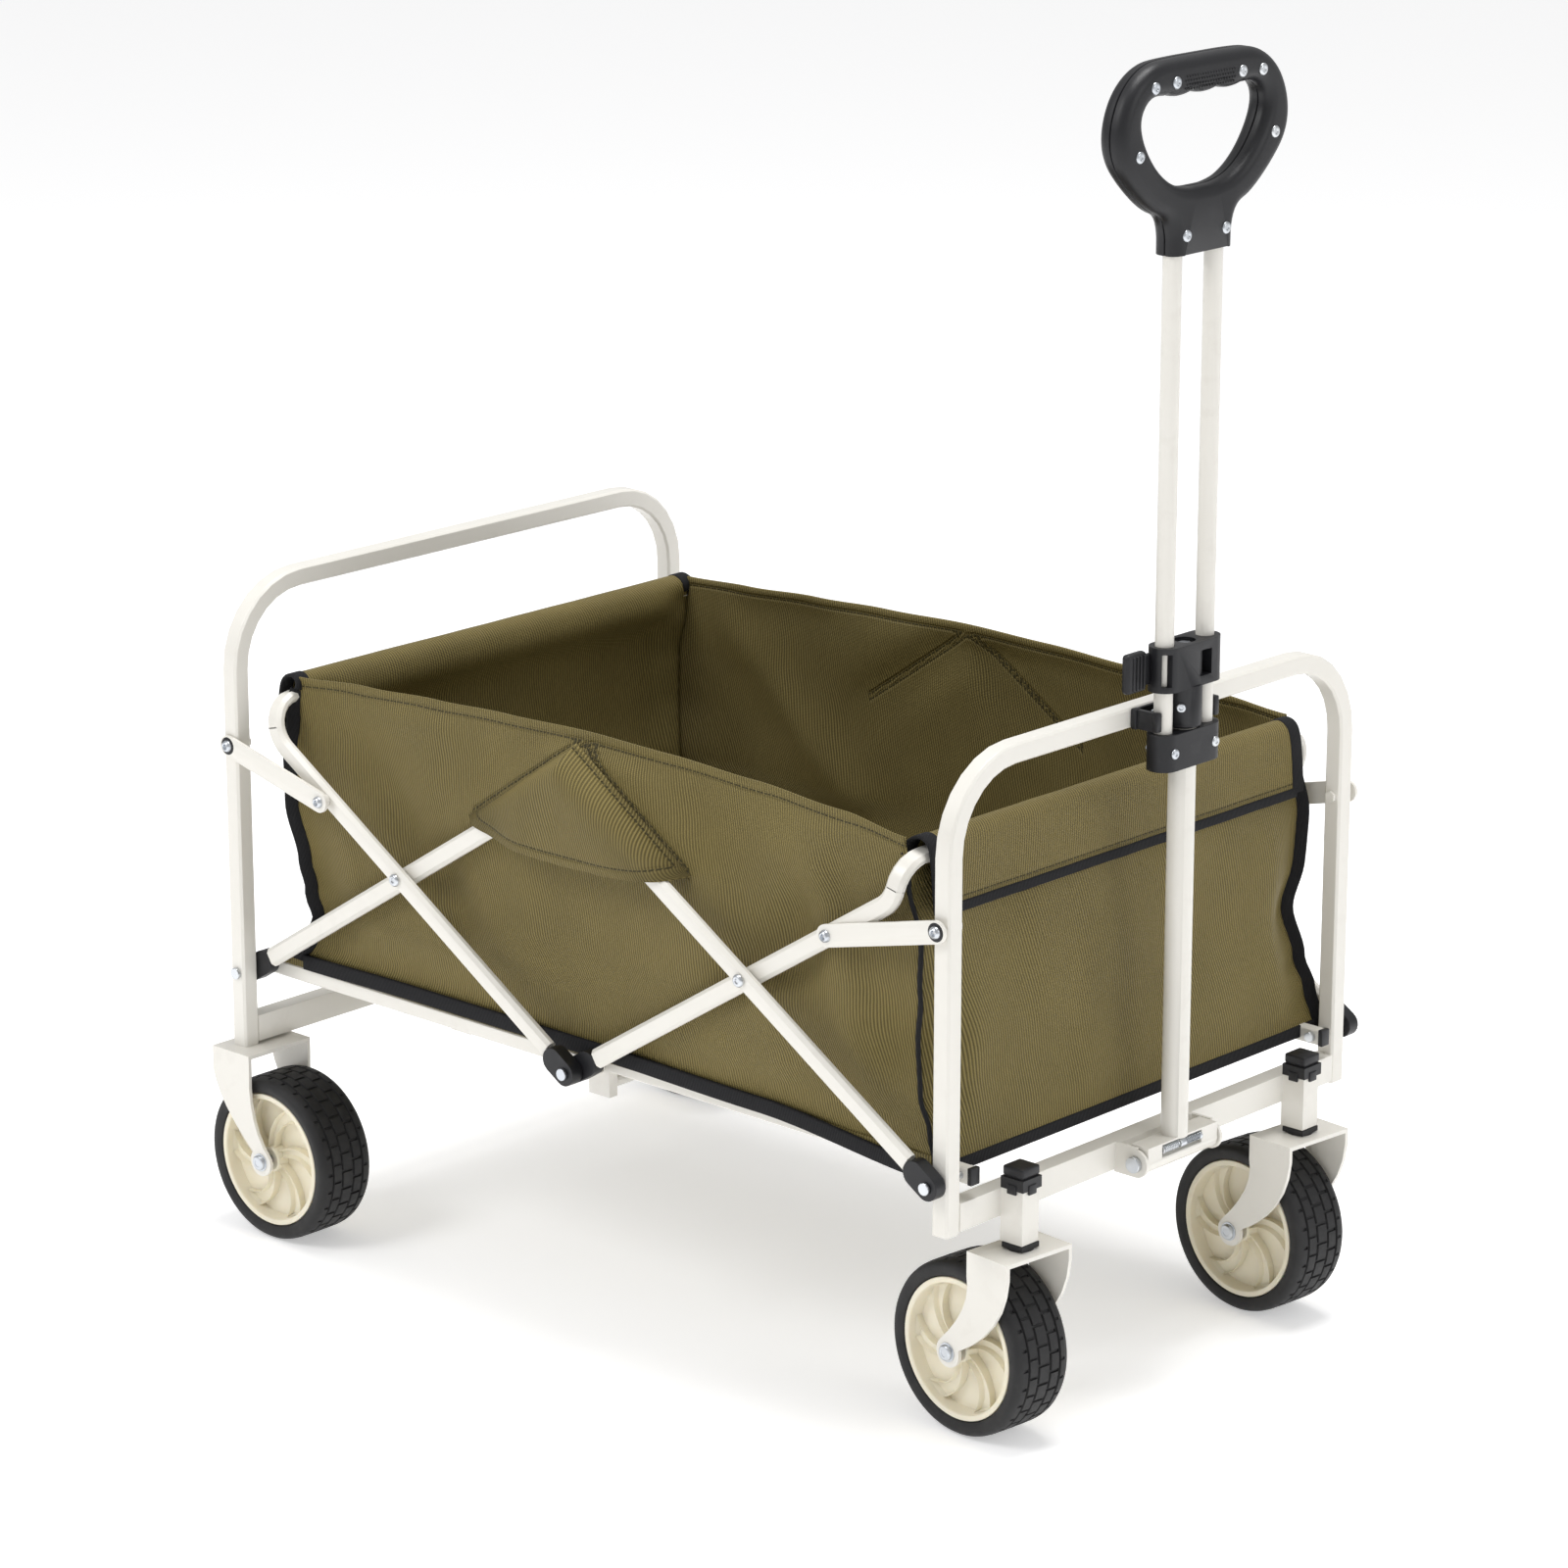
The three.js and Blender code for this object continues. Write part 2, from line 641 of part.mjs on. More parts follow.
function twinTube(side) {
  const y = side * twinSpacing / 2;
  const low = collarBottom + 5;
  const high = gripBottom + 34;
  const tube = barAlongZ(twinTubeRadius, handleX, y, low, high);
  return cut(tube, barAlongZ(twinTubeRadius - wallOfTube, handleX, y, low - 1, high + 1));
}

function handleCollar() {
  const top = collarBottom + collarHeight;
  const slab = handleSlab(38.5, collarBottom, top);
  const slider = barAlongZ(handleTubeRadius + 0.5, handleX, 0, collarBottom - 1, top + 1, 20);
  return cut(slab, slider, ...twinBores(collarBottom + 4.7, top + 1, 0.3));
}

// The D-grip's outline in Y and Z, from the neck up one side and down the other.
function gripOutline() {
  const outline = new THREE.Shape();
  const neck = 37;
  outline.moveTo(-neck, gripBottom);
  outline.lineTo(neck, gripBottom);
  outline.lineTo(neck, gripBottom + 24);
  outline.quadraticCurveTo(neck + 3, gripBottom + 42, neck + 25, gripBottom + 62);
  outline.quadraticCurveTo(gripHalfWidth, gripTop - 68, gripHalfWidth, gripTop - 46);
  outline.quadraticCurveTo(gripHalfWidth, gripTop, gripHalfWidth - 46, gripTop);
  outline.lineTo(-gripHalfWidth + 46, gripTop);
  outline.quadraticCurveTo(-gripHalfWidth, gripTop, -gripHalfWidth, gripTop - 46);
  outline.quadraticCurveTo(-gripHalfWidth, gripTop - 68, -neck - 25, gripBottom + 62);
  outline.quadraticCurveTo(-neck - 3, gripBottom + 42, -neck, gripBottom + 24);
  outline.closePath();
  const hole = new THREE.Path();
  const reach = gripHalfWidth - 27;
  hole.moveTo(0, gripTop - 30);
  hole.lineTo(reach - 20, gripTop - 30);
  hole.quadraticCurveTo(reach, gripTop - 31, reach - 1, gripTop - 51);
  hole.quadraticCurveTo(reach - 8, gripTop - 72, 32, gripBottom + 60);
  hole.quadraticCurveTo(0, gripBottom + 48, -32, gripBottom + 60);
  hole.quadraticCurveTo(-reach + 8, gripTop - 72, -reach + 1, gripTop - 51);
  hole.quadraticCurveTo(-reach, gripTop - 31, -reach + 20, gripTop - 30);
  hole.closePath();
  outline.holes.push(hole);
  return outline;
}

// One half of the grip, from the parting plane to its face (+1 front, -1 back).
function gripShell(face) {
  const depth = handleThickness / 2 - 0.15;
  const shell = new THREE.ExtrudeGeometry(gripOutline(), { depth, bevelEnabled: false, curveSegments: 5 });
  shell.rotateX(Math.PI / 2).rotateZ(Math.PI / 2);
  shell.translate(face > 0 ? handleX + 0.15 : handleX - handleThickness / 2, 0, 0);
  return cut(shell, ...twinBores(gripBottom - 1, gripBottom + 34.4, 0.3));
}

// The clip on the hoop's top bar: a base plate with two spring arms outside the twin tubes.
function handleClip() {
  const face = frontLegX + halfTube + 0.3;
  const middle = frontHoopTop - halfTube;
  const arms = sides.map(([, side]) => box(26, 4.5, 16, face + 13, side * 37.6, middle));
  return join(box(3, 79, 16, face + 1.5, 0, middle), ...arms);
}

// ---- fabric tub ----
// An end panel: a sheet with a loose sleeve at its top, closed around its cross tube.
function endPanel(legX, forwards, halfWidth) {
  const bulge = 11.6;
  const outer = new THREE.Shape();
  outer.moveTo(bulge - clothThickness, tubBottom);
  outer.lineTo(bulge, tubBottom);
  outer.lineTo(bulge, tubTop - 5);
  outer.lineTo(7, tubTop);
  outer.lineTo(-7, tubTop);
  outer.lineTo(-bulge, tubTop - 5);
  outer.lineTo(-bulge, sleeveBottom);
  outer.lineTo(bulge - clothThickness, sleeveBottom);
  outer.closePath();
  const sleeve = new THREE.Path();
  sleeve.moveTo(2.2 - bulge, sleeveBottom + 2.2);
  sleeve.lineTo(bulge - 2.2, sleeveBottom + 2.2);
  sleeve.lineTo(bulge - 2.2, tubTop - 6);
  sleeve.lineTo(6, tubTop - 2.2);
  sleeve.lineTo(-6, tubTop - 2.2);
  sleeve.lineTo(2.2 - bulge, tubTop - 6);
  sleeve.closePath();
  outer.holes.push(sleeve);
  const panel = plateAlongY(outer, -halfWidth, halfWidth);
  panel.rotateZ(forwards > 0 ? 0 : Math.PI);
  return panel.translate(legX + forwards * crossInset, 0, 0);
}

function sidePanel(side) {
  const inset = crossInset + 12.2;
  const length = legSpacing - 2 * inset;
  const height = tubTop - tubBottom;
  return box(length, clothThickness, height, centreX, side * sideClothPlane, tubBottom + height / 2);
}

function floorHalf(legX) {
  const forwards = Math.sign(centreX - legX);
  const thickness = floorTop - pivotHeight - railHeight / 2 - 0.4;
  const from = legX + forwards * 14;
  const to = centreX - forwards * 0.4;
  return box(Math.abs(to - from), 2 * 246, thickness, (from + to) / 2, 0, floorTop - thickness / 2);
}

// ---- assembly ----
addPart('rear_frame', rearFrame(), creamPaint());
addPart('front_frame', frontFrame(), creamPaint());
addPart('rear_cross_frame', rearCrossFrame(), creamPaint());
addPart('front_cross_frame', frontCrossFrame(), creamPaint());
addPart('rear_rail_frame', rearRailFrame(), creamPaint());
addPart('front_rail_frame', frontRailFrame(), creamPaint());

for (const [name, side] of sides) {
  const capOuter = outerPlane + capWidth / 2 + 0.4;
  addPart(`rear_arm_${name}`, rearArm(side), creamPaint());
  addPart(`front_arm_${name}`, frontArm(side), creamPaint());
  addPart(`rear_arm_cap_${name}`, endCap(rearLegX, innerPlane - 0.5, side, 1), blackPlastic());
  addPart(`front_arm_cap_${name}`, endCap(frontLegX, outerPlane, side, -1), blackPlastic());
  addPart(`rear_cross_cap_${name}`, endCap(centreX, outerPlane + 0.4, side, -1), blackPlastic());
  addPart(`front_cross_cap_${name}`, endCap(centreX, innerPlane - 0.5, side, 1), blackPlastic());
  const rearBoltHead = rearHalfWidth + halfTube + 0.4;
  const rearBolt = pivotBolt(rearLegX, pivotHeight, side, rearRailPlane - 5.4, rearBoltHead);
  addPart(`rear_pivot_bolt_${name}`, rearBolt, zincSteel());
  const frontBolt = pivotBolt(frontLegX, pivotHeight, side, frontRailPlane - 5.4, capOuter);
  addPart(`front_pivot_bolt_${name}`, frontBolt, zincSteel());
  addPart(`centre_bolt_${name}`, pivotBolt(centreX, pivotHeight, side, 252.8, capOuter + 0.4), zincSteel());
  addPart(`rear_link_${name}`, link(rearLegX, rearHalfWidth, outerPlane, 1, side), creamPaint());
  addPart(`front_link_${name}`, link(frontLegX, frontHalfWidth, innerPlane, -1, side), creamPaint());

  const rearWheel = new THREE.Group();
  rearWheel.position.set(rearAxleX, side * rearWheelPlane, wheelRadius);
  addWheel('rear', name, rearWheel);
  wagon.add(rearWheel);

  const caster = new THREE.Group();
  caster.position.set(casterX, side * casterPlane, 0);
  caster.rotation.z = casterSteer * Math.PI / 180;
  const forkMesh = new THREE.Mesh(casterFork(), creamPaint());
  forkMesh.name = `caster_fork_${name}`;
  const frontWheel = new THREE.Group();
  frontWheel.position.set(-casterTrail, 0, wheelRadius);
  addWheel('front', name, frontWheel);
  caster.add(forkMesh, frontWheel);
  wagon.add(caster);
  addPart(`caster_liner_${name}`, casterLiner(casterX, side * casterPlane), blackPlastic());

  addPart(`twin_tube_${name}`, twinTube(side), creamPaint());
  addPart(`side_panel_${name}`, sidePanel(side), oliveCloth());
}

addPart('handle_lower_tube', lowerTube(), creamPaint());
addPart('handle_pivot_bolt', handlePivotBolt(), zincSteel());
addPart('clamp_head', clampHead(), blackPlastic());
addPart('cam_lever', camLever(), blackPlastic());
addPart('handle_collar', handleCollar(), blackPlastic());
addPart('grip_front_shell', gripShell(1), blackPlastic());
addPart('grip_back_shell', gripShell(-1), blackPlastic());
addPart('handle_clip', handleClip(), blackPlastic());
addPart('rear_panel', endPanel(rearLegX, 1, rearPanelHalfWidth), oliveCloth());
addPart('front_panel', endPanel(frontLegX, -1, frontPanelHalfWidth), oliveCloth());
addPart('floor_rear', floorHalf(rearLegX), oliveCloth());
addPart('floor_front', floorHalf(frontLegX), oliveCloth());

export default wagon;
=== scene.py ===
import json
import bpy, bmesh
from math import radians, pi, sin, cos, atan2, hypot, exp, log
from mathutils import Vector, Matrix, noise


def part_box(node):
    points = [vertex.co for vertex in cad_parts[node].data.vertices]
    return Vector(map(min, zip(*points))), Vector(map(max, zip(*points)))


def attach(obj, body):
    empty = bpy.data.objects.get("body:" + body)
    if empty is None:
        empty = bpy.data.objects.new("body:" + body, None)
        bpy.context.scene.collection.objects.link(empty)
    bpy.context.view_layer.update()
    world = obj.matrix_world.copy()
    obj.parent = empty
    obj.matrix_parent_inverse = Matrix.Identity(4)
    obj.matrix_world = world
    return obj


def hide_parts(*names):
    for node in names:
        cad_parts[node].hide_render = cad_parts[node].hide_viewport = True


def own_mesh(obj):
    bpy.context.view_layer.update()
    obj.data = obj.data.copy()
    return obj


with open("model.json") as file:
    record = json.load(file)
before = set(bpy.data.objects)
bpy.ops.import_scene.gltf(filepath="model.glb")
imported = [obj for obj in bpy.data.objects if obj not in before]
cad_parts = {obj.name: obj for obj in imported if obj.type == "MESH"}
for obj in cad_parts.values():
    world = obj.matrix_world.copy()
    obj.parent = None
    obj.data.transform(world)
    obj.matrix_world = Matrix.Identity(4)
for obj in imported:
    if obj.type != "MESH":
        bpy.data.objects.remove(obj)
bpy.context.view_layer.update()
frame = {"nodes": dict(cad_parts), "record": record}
mm = 0.001
sides = {"left": 1, "right": -1}
bodyOfNode = {n: b for b, nodes in frame["record"]["behaviour"]["bodies"].items() for n in nodes}


def middle(node):
    low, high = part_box(node)
    return [(a + b) / 2 for a, b in zip(low, high)]


rearX = middle("rear_pivot_bolt_left")[0]      # rear legs
frontX = middle("front_pivot_bolt_left")[0]    # front legs
handleX = middle("twin_tube_left")[0]
lengthX = frontX - rearX


# A place in millimetres: x ahead of the rear legs, y to the left, z up from the floor.
def spot(x, y, z):
    return Vector((rearX + x * mm, y * mm, z * mm))


studio = {
    "lens": 122.85, "place": (3.0037, -3.2820, 1.7344), "tilt": 90 - 16.27, "turn": 42.58,
    "floorSize": 60, "floorColour": (0.93, 0.93, 0.935), "floorGlow": 0.41, "worldLight": 0.52, "lightSize": 2.0,
    "lights": {"key": ((-1.2, -3.4, 3.6), 0.4, 62), "top": ((0.3, 0.4, 4.2), 0.3, 96),
               "front": ((4.2, 0.8, 2.4), 0.4, 24)},
}


def addObject(name, data):
    made = bpy.data.objects.new(name, data)
    bpy.context.collection.objects.link(made)
    return made


def meshFrom(name, bm):
    mesh = bpy.data.meshes.new(name)
    bm.to_mesh(mesh)
    bm.free()
    return mesh


def setSockets(sockets, **values):
    for name, value in values.items():
        sockets[name.replace("_", " ")].default_value = value


def makeCamera():
    data = bpy.data.cameras.new("camera")
    data.lens = studio["lens"]
    data.sensor_width = 36
    data.clip_end = 100
    camera = addObject("camera", data)
    camera.location = studio["place"]
    camera.rotation_euler = (radians(studio["tilt"]), 0, radians(studio["turn"]))
    bpy.context.scene.camera = camera


def areaLight(name, place, aimHeight, power):
    data = bpy.data.lights.new(name, "AREA")
    data.shape = "DISK"
    data.size = studio["lightSize"]
    data.energy = power
    light = addObject(name, data)
    light.location = place
    light.rotation_euler = (Vector((0, 0, aimHeight)) - Vector(place)).to_track_quat("-Z", "Y").to_euler()


def makeStudio():
    bm = bmesh.new()
    bmesh.ops.create_grid(bm, x_segments=1, y_segments=1, size=studio["floorSize"] / 2)
    floor = addObject("floor", meshFrom("floor", bm))
    paper, _, shader = newMaterial("studioFloor")
    setSockets(shader, Base_Color=(*studio["floorColour"], 1), Roughness=0.9, Emission_Color=(1, 1, 1, 1),
               Emission_Strength=studio["floorGlow"])
    floor.data.materials.append(paper)
    world = bpy.data.worlds.new("studio")
    world.use_nodes = True
    setSockets(world.node_tree.nodes["Background"].inputs, Color=(1, 1, 1, 1), Strength=studio["worldLight"])
    bpy.context.scene.world = world
    bpy.context.scene.view_settings.view_transform = "Standard"
    for name, (place, aimHeight, power) in studio["lights"].items():
        areaLight(name, place, aimHeight, power)


def newMaterial(name):
    material = bpy.data.materials.new(name)
    material.use_nodes = True
    tree = material.node_tree
    return material, tree, tree.nodes["Principled BSDF"].inputs


# A node group, the sockets it takes and the sockets it fills.
def newGroup(name, inputs, outputs):
    group = bpy.data.node_groups.new(name, "ShaderNodeTree")
    for socket, value in inputs.items():
        group.interface.new_socket(socket, in_out="INPUT", socket_type="NodeSocketFloat").default_value = value
    for socket in outputs:
        group.interface.new_socket(socket, in_out="OUTPUT", socket_type="NodeSocketFloat")
    start = group.nodes.new("NodeGroupInput")
    return group, start.outputs, group.nodes.new("NodeGroupOutput").inputs


# Links a socket where the value is another node's output, and sets it otherwise.
def feed(tree, socket, value):
    if isinstance(value, bpy.types.NodeSocket):
        tree.links.new(value, socket)
    else:
        socket.default_value = (*value, 1) if isinstance(value, tuple) else value


def mathNode(tree, operation, *values):
    node = tree.nodes.new("ShaderNodeMath")
    node.operation = operation
    for socket, value in zip(node.inputs, values):
        feed(tree, socket, value)
    return node.outputs[0]


def times(tree, first, second):
    return mathNode(tree, "MULTIPLY", first, second)


def plus(tree, first, second):
    return mathNode(tree, "ADD", first, second)


def mixColour(tree, factor, first, second):
    node = tree.nodes.new("ShaderNodeMix")
    node.data_type = "RGBA"
    for index, value in ((0, factor), (6, first), (7, second)):
        feed(tree, node.inputs[index], value)
    return node.outputs[2]


def noiseNode(tree, vector, scale, detail=3.0, rough=0.5):
    node = tree.nodes.new("ShaderNodeTexNoise")
    for name, value in (("Detail", detail), ("Roughness", rough), ("Scale", scale), ("Vector", vector)):
        feed(tree, node.inputs[name], value)
    return node.outputs["Fac"]


def rampNode(tree, value, low, high):
    node = tree.nodes.new("ShaderNodeMapRange")
    node.interpolation_type = "SMOOTHSTEP"
    for name, given in (("From Min", low), ("From Max", high), ("Value", value)):
        feed(tree, node.inputs[name], given)
    return node.outputs["Result"]


# The X and Y of a piece's own UV map, and the map itself.
def uvParts(tree, name):
    node = tree.nodes.new("ShaderNodeUVMap")
    node.uv_map = name
    parts = tree.nodes.new("ShaderNodeSeparateXYZ")
    tree.links.new(node.outputs["UV"], parts.inputs[0])
    return parts.outputs["X"], parts.outputs["Y"], node.outputs["UV"]


# Fine surface grain with a cloudy tint: colour mask, roughness mask and height.
def makeSurfaceGroup():
    group, given, filled = newGroup(
        "surfaceGrain", {"Grain scale": 900.0, "Cloud scale": 9.0}, ("Cloud", "Smudge", "Height"))
    place = group.nodes.new("ShaderNodeTexCoord").outputs["Object"]
    feed(group, filled["Height"], noiseNode(group, place, given["Grain scale"], 2.0))
    feed(group, filled["Cloud"], noiseNode(group, place, given["Cloud scale"], 4.0))
    feed(group, filled["Smudge"], noiseNode(group, place, times(group, given["Cloud scale"], 3.7), 5.0, 0.6))
    return group


# Scuffs along convex edges, in patches.
def makeWearGroup():
    group, given, filled = newGroup("edgeWear", {"Amount": 0.5}, ("Mask",))
    edge = rampNode(group, group.nodes.new("ShaderNodeNewGeometry").outputs["Pointiness"], 0.505, 0.56)
    place = group.nodes.new("ShaderNodeTexCoord").outputs["Object"]
    patch = rampNode(group, noiseNode(group, place, 55.0, 4.0), 0.52, 0.66)
    feed(group, filled["Mask"], times(group, times(group, edge, patch), given["Amount"]))
    return group


# Ribbed canvas from the cloth's own UV map, which is in metres.
def makeTwillGroup():
    group, given, filled = newGroup("ribbedCanvas", {"Pitch": 0.0026, "Slant": 0.22}, ("Rib", "Height", "Fade"))
    across, along, uv = uvParts(group, "Weave")
    slanted = plus(group, across, times(group, along, given["Slant"]))
    slanted = plus(group, slanted, times(group, noiseNode(group, uv, 60.0, 2.0), 0.00035))
    turns = mathNode(group, "DIVIDE", slanted, given["Pitch"])
    rib = mathNode(group, "SINE", times(group, turns, 2 * pi))
    rib = times(group, plus(group, rib, 1.0), 0.5)
    weft = mathNode(group, "DIVIDE", along, times(group, given["Pitch"], 0.45))
    weft = mathNode(group, "SINE", times(group, weft, 2 * pi))
    feed(group, filled["Rib"], rib)
    feed(group, filled["Height"], plus(group, rib, times(group, weft, 0.16)))
    feed(group, filled["Fade"], noiseNode(group, uv, 7.0, 5.0, 0.62))
    return group


# A dashed row of thread in a shallow furrow, a set way from the sewn edge.
def makeStitchGroup():
    group, given, filled = newGroup("stitchRow", {"Offset": 0.0085, "Length": 0.0042}, ("Thread", "Furrow"))
    along, fromEdge = uvParts(group, "Seam")[:2]
    away = mathNode(group, "ABSOLUTE", mathNode(group, "SUBTRACT", fromEdge, given["Offset"]))
    line = mathNode(group, "SUBTRACT", 1.0, rampNode(group, away, 0.0004, 0.0009))
    dash = rampNode(group, mathNode(group, "FRACT", mathNode(group, "DIVIDE", along, given["Length"])), 0.18, 0.3)
    feed(group, filled["Thread"], times(group, line, dash))
    feed(group, filled["Furrow"], mathNode(group, "SUBTRACT", 1.0, rampNode(group, away, 0.0006, 0.003)))
    return group


def placeGroup(tree, group, **values):
    node = tree.nodes.new("ShaderNodeGroup")
    node.node_tree = group
    setSockets(node.inputs, **values)
    return node.outputs


def bumpFrom(tree, shader, height, distance):
    bump = tree.nodes.new("ShaderNodeBump")
    setSockets(bump.inputs, Strength=1.0, Distance=distance)
    tree.links.new(height, bump.inputs["Height"])
    tree.links.new(bump.outputs["Normal"], shader["Normal"])


# A hard finish: two close tones in a cloudy mix, uneven gloss, fine grain and worn edges.
def coatedFinish(name, light, dark, roughness, grainScale, grainDepth, metallic=0.0, coat=0.0,
                 wear=None, wearAmount=0.5, cloudScale=9.0, subsurface=0.0, shine=0.5):
    material, tree, shader = newMaterial(name)
    grain = placeGroup(tree, surfaceGroup, Grain_scale=grainScale, Cloud_scale=cloudScale)
    colour = mixColour(tree, rampNode(tree, grain["Cloud"], 0.35, 0.68), dark, light)
    if wear is not None:
        colour = mixColour(tree, placeGroup(tree, wearGroup, Amount=wearAmount)["Mask"], colour, wear)
    feed(tree, shader["Base Color"], colour)
    feed(tree, shader["Roughness"], plus(tree, times(tree, grain["Smudge"], 0.26), roughness - 0.13))
    setSockets(shader, Metallic=metallic, Specular_IOR_Level=shine, Coat_Weight=coat, Coat_Roughness=0.18)
    if subsurface:
        setSockets(shader, Subsurface_Weight=subsurface, Subsurface_Radius=(0.006, 0.004, 0.002), Subsurface_Scale=1.0)
    bumpFrom(tree, shader, grain["Height"], grainDepth)
    return material


# Ribbed cloth, with a row of stitching where it is given a thread colour. The ribs and a cloudy fade mix the dark and
# light tones. The fade is random tone. The ribs' contrast is partly the weave and partly painted sheen on the ribs.
def clothFinish(name, light, dark, pitch, depth, roughness=0.78, sheen=0.25, thread=None, shine=0.25):
    material, tree, shader = newMaterial(name)
    weave = placeGroup(tree, twillGroup, Pitch=pitch)
    tone = plus(tree, times(tree, weave["Rib"], 0.55), times(tree, weave["Fade"], 0.45))
    colour = mixColour(tree, rampNode(tree, tone, 0.16, 0.72), dark, light)
    height = weave["Height"]
    if thread is not None:
        row = placeGroup(tree, stitchGroup)
        colour = mixColour(tree, row["Thread"], colour, thread)
        height = plus(tree, height, times(tree, row["Furrow"], -2.2))
        height = plus(tree, height, times(tree, row["Thread"], 1.4))
    feed(tree, shader["Base Color"], colour)
    feed(tree, shader["Roughness"], plus(tree, times(tree, weave["Fade"], 0.2), roughness - 0.1))
    setSockets(shader, Specular_IOR_Level=shine, Sheen_Weight=sheen, Sheen_Roughness=0.45,
               Sheen_Tint=(*[min(1, c * 2.6) for c in light], 1))
    bumpFrom(tree, shader, height, depth)
    return material


surfaceGroup = makeSurfaceGroup()
wearGroup = makeWearGroup()
twillGroup = makeTwillGroup()
stitchGroup = makeStitchGroup()

framePaint = coatedFinish("framePaint", (0.80, 0.778, 0.722), (0.785, 0.762, 0.704), 0.36, 420, 0.00002,
                          coat=0.25, wear=(0.6, 0.56, 0.5), wearAmount=0.12)
blackPlastic = coatedFinish("blackPlastic", (0.0125, 0.0127, 0.0148), (0.0105, 0.0107, 0.0128), 0.42, 1500, 0.00008,
                            wear=(0.03, 0.03, 0.033), wearAmount=0.3, shine=0.38)
hubPlastic = coatedFinish("hubPlastic", (0.83, 0.775, 0.63), (0.80, 0.738, 0.575), 0.38, 500, 0.00002,
                          coat=0.1, subsurface=0.12)
tyreRubber = coatedFinish("tyreRubber", (0.0165, 0.0162, 0.0168), (0.012, 0.0118, 0.0125), 0.58, 1300, 0.00012,
                          wear=(0.03, 0.029, 0.028), wearAmount=0.4, cloudScale=30, shine=0.4)
zincSteel = coatedFinish("zincSteel", (0.66, 0.68, 0.70), (0.56, 0.59, 0.63), 0.30, 1800, 0.00002, metallic=1.0)
# Olive canvas in a light and a dark tone; the ribs mix them partly as the weave and partly as painted sheen.
canvas = clothFinish("oliveCanvas", (0.250, 0.196, 0.066), (0.090, 0.069, 0.019), 0.0029, 0.0009,
                     roughness=0.56, sheen=0.10, shine=0.32, thread=(0.05, 0.041, 0.012))
# A darker copy of the canvas for the floor mat inside the tub: painted shade.
canvasPaintedShade = clothFinish("oliveCanvasPaintedShade", (0.190, 0.150, 0.050), (0.070, 0.054, 0.015), 0.0029, 0.0008,
                           roughness=0.56, sheen=0.08, shine=0.3, thread=(0.045, 0.037, 0.011))
binding = clothFinish("blackBinding", (0.015, 0.015, 0.017), (0.007, 0.007, 0.008), 0.0018, 0.0003, sheen=0.12)
print("materials ready")


def finishPiece(bm, name, material, body, slot, smoothAngle=38):
    bm.normal_update()
    for face in bm.faces:
        face.smooth = True
    mesh = meshFrom(name, bm)
    mesh.set_sharp_from_angle(angle=radians(smoothAngle))
    piece = addObject(name, mesh)
    mesh.materials.append(material)
    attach(piece, body)
    return piece


def finishMetal(bm, name, body, smoothAngle=40):
    return finishPiece(bm, name, zincSteel, body, "zinc_steel", smoothAngle)


def finishBlack(bm, name, body, smoothAngle=40):
    return finishPiece(bm, name, blackPlastic, body, "black_plastic", smoothAngle)


# Joins a finished part to a piece's mesh.
def addTo(bm, part):
    mesh = meshFrom("part", part)
    bm.from_mesh(mesh)
    bpy.data.meshes.remove(mesh)


def bevelEdges(bm, edges, width, segments=2):
    bmesh.ops.bevel(bm, geom=edges, offset=width, offset_type="OFFSET", segments=segments, profile=0.5,
                    affect="EDGES", material=-1, clamp_overlap=True)


soften = {"merge": 0.01, "flat": 0.6, "width": 0.5, "angle": 28}


# A CAD node's own solid with softened edges and smooth bends.
def refine(node, material, slot, width=soften["width"]):
    source = frame["nodes"][node]
    bm = bmesh.new()
    bm.from_mesh(source.data)
    bmesh.ops.remove_doubles(bm, verts=bm.verts, dist=soften["merge"] * mm)
    bmesh.ops.dissolve_limit(bm, angle_limit=radians(soften["flat"]), verts=bm.verts, edges=bm.edges)
    piece = finishPiece(bm, node + "_finish", material, bodyOfNode[node], slot)
    bevel = piece.modifiers.new("soften", "BEVEL")
    bevel.width = width * mm
    bevel.segments = 2
    bevel.limit_method = "ANGLE"
    bevel.angle_limit = radians(soften["angle"])
    bevel.harden_normals = False
    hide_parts(node)
    return piece


def repaint(node, material):
    mesh = frame["nodes"][node].data
    if not mesh.materials:
        mesh.materials.append(material)
    for index in range(len(mesh.materials)):
        mesh.materials[index] = material


tyre = {
    "radius": 75, "width": 59, "bead": 61, "grooveDepth": 1.6, "steps": 168, "blockSteps": 6,
    "grooves": (-17.5, -6.5, 6.5, 17.5), "grooveWidth": 1.7, "shoulder": 6.4, "slotEdge": 0.35,
    "ribShift": (0, 3, 0, 3, 0),
}


# (radius, across) from the inner bead over the tread to the outer bead.
def tyreProfile():
    half = tyre["width"] / 2
    radius = tyre["radius"]
    points = [(tyre["bead"], -half + 3.4), (tyre["bead"] + 1.2, -half + 1.6), (radius - 9, -half + 0.3),
              (radius - 5.5, -half + 0.2), (radius - 3, -half + 1.5), (radius - 1.3, -half + 4.2),
              (radius - 0.7, -half + tyre["shoulder"])]
    for middleOfGroove in tyre["grooves"]:
        w = tyre["grooveWidth"] / 2
        crown = radius - 0.0006 * middleOfGroove ** 2
        points += [(crown - 0.05, middleOfGroove - w - 0.5), (crown - tyre["grooveDepth"], middleOfGroove - w + 0.2),
                   (crown - tyre["grooveDepth"], middleOfGroove + w - 0.2), (crown - 0.05, middleOfGroove + w + 0.5)]
    points += [(r, -w) for r, w in reversed(points[:7])]
    return points


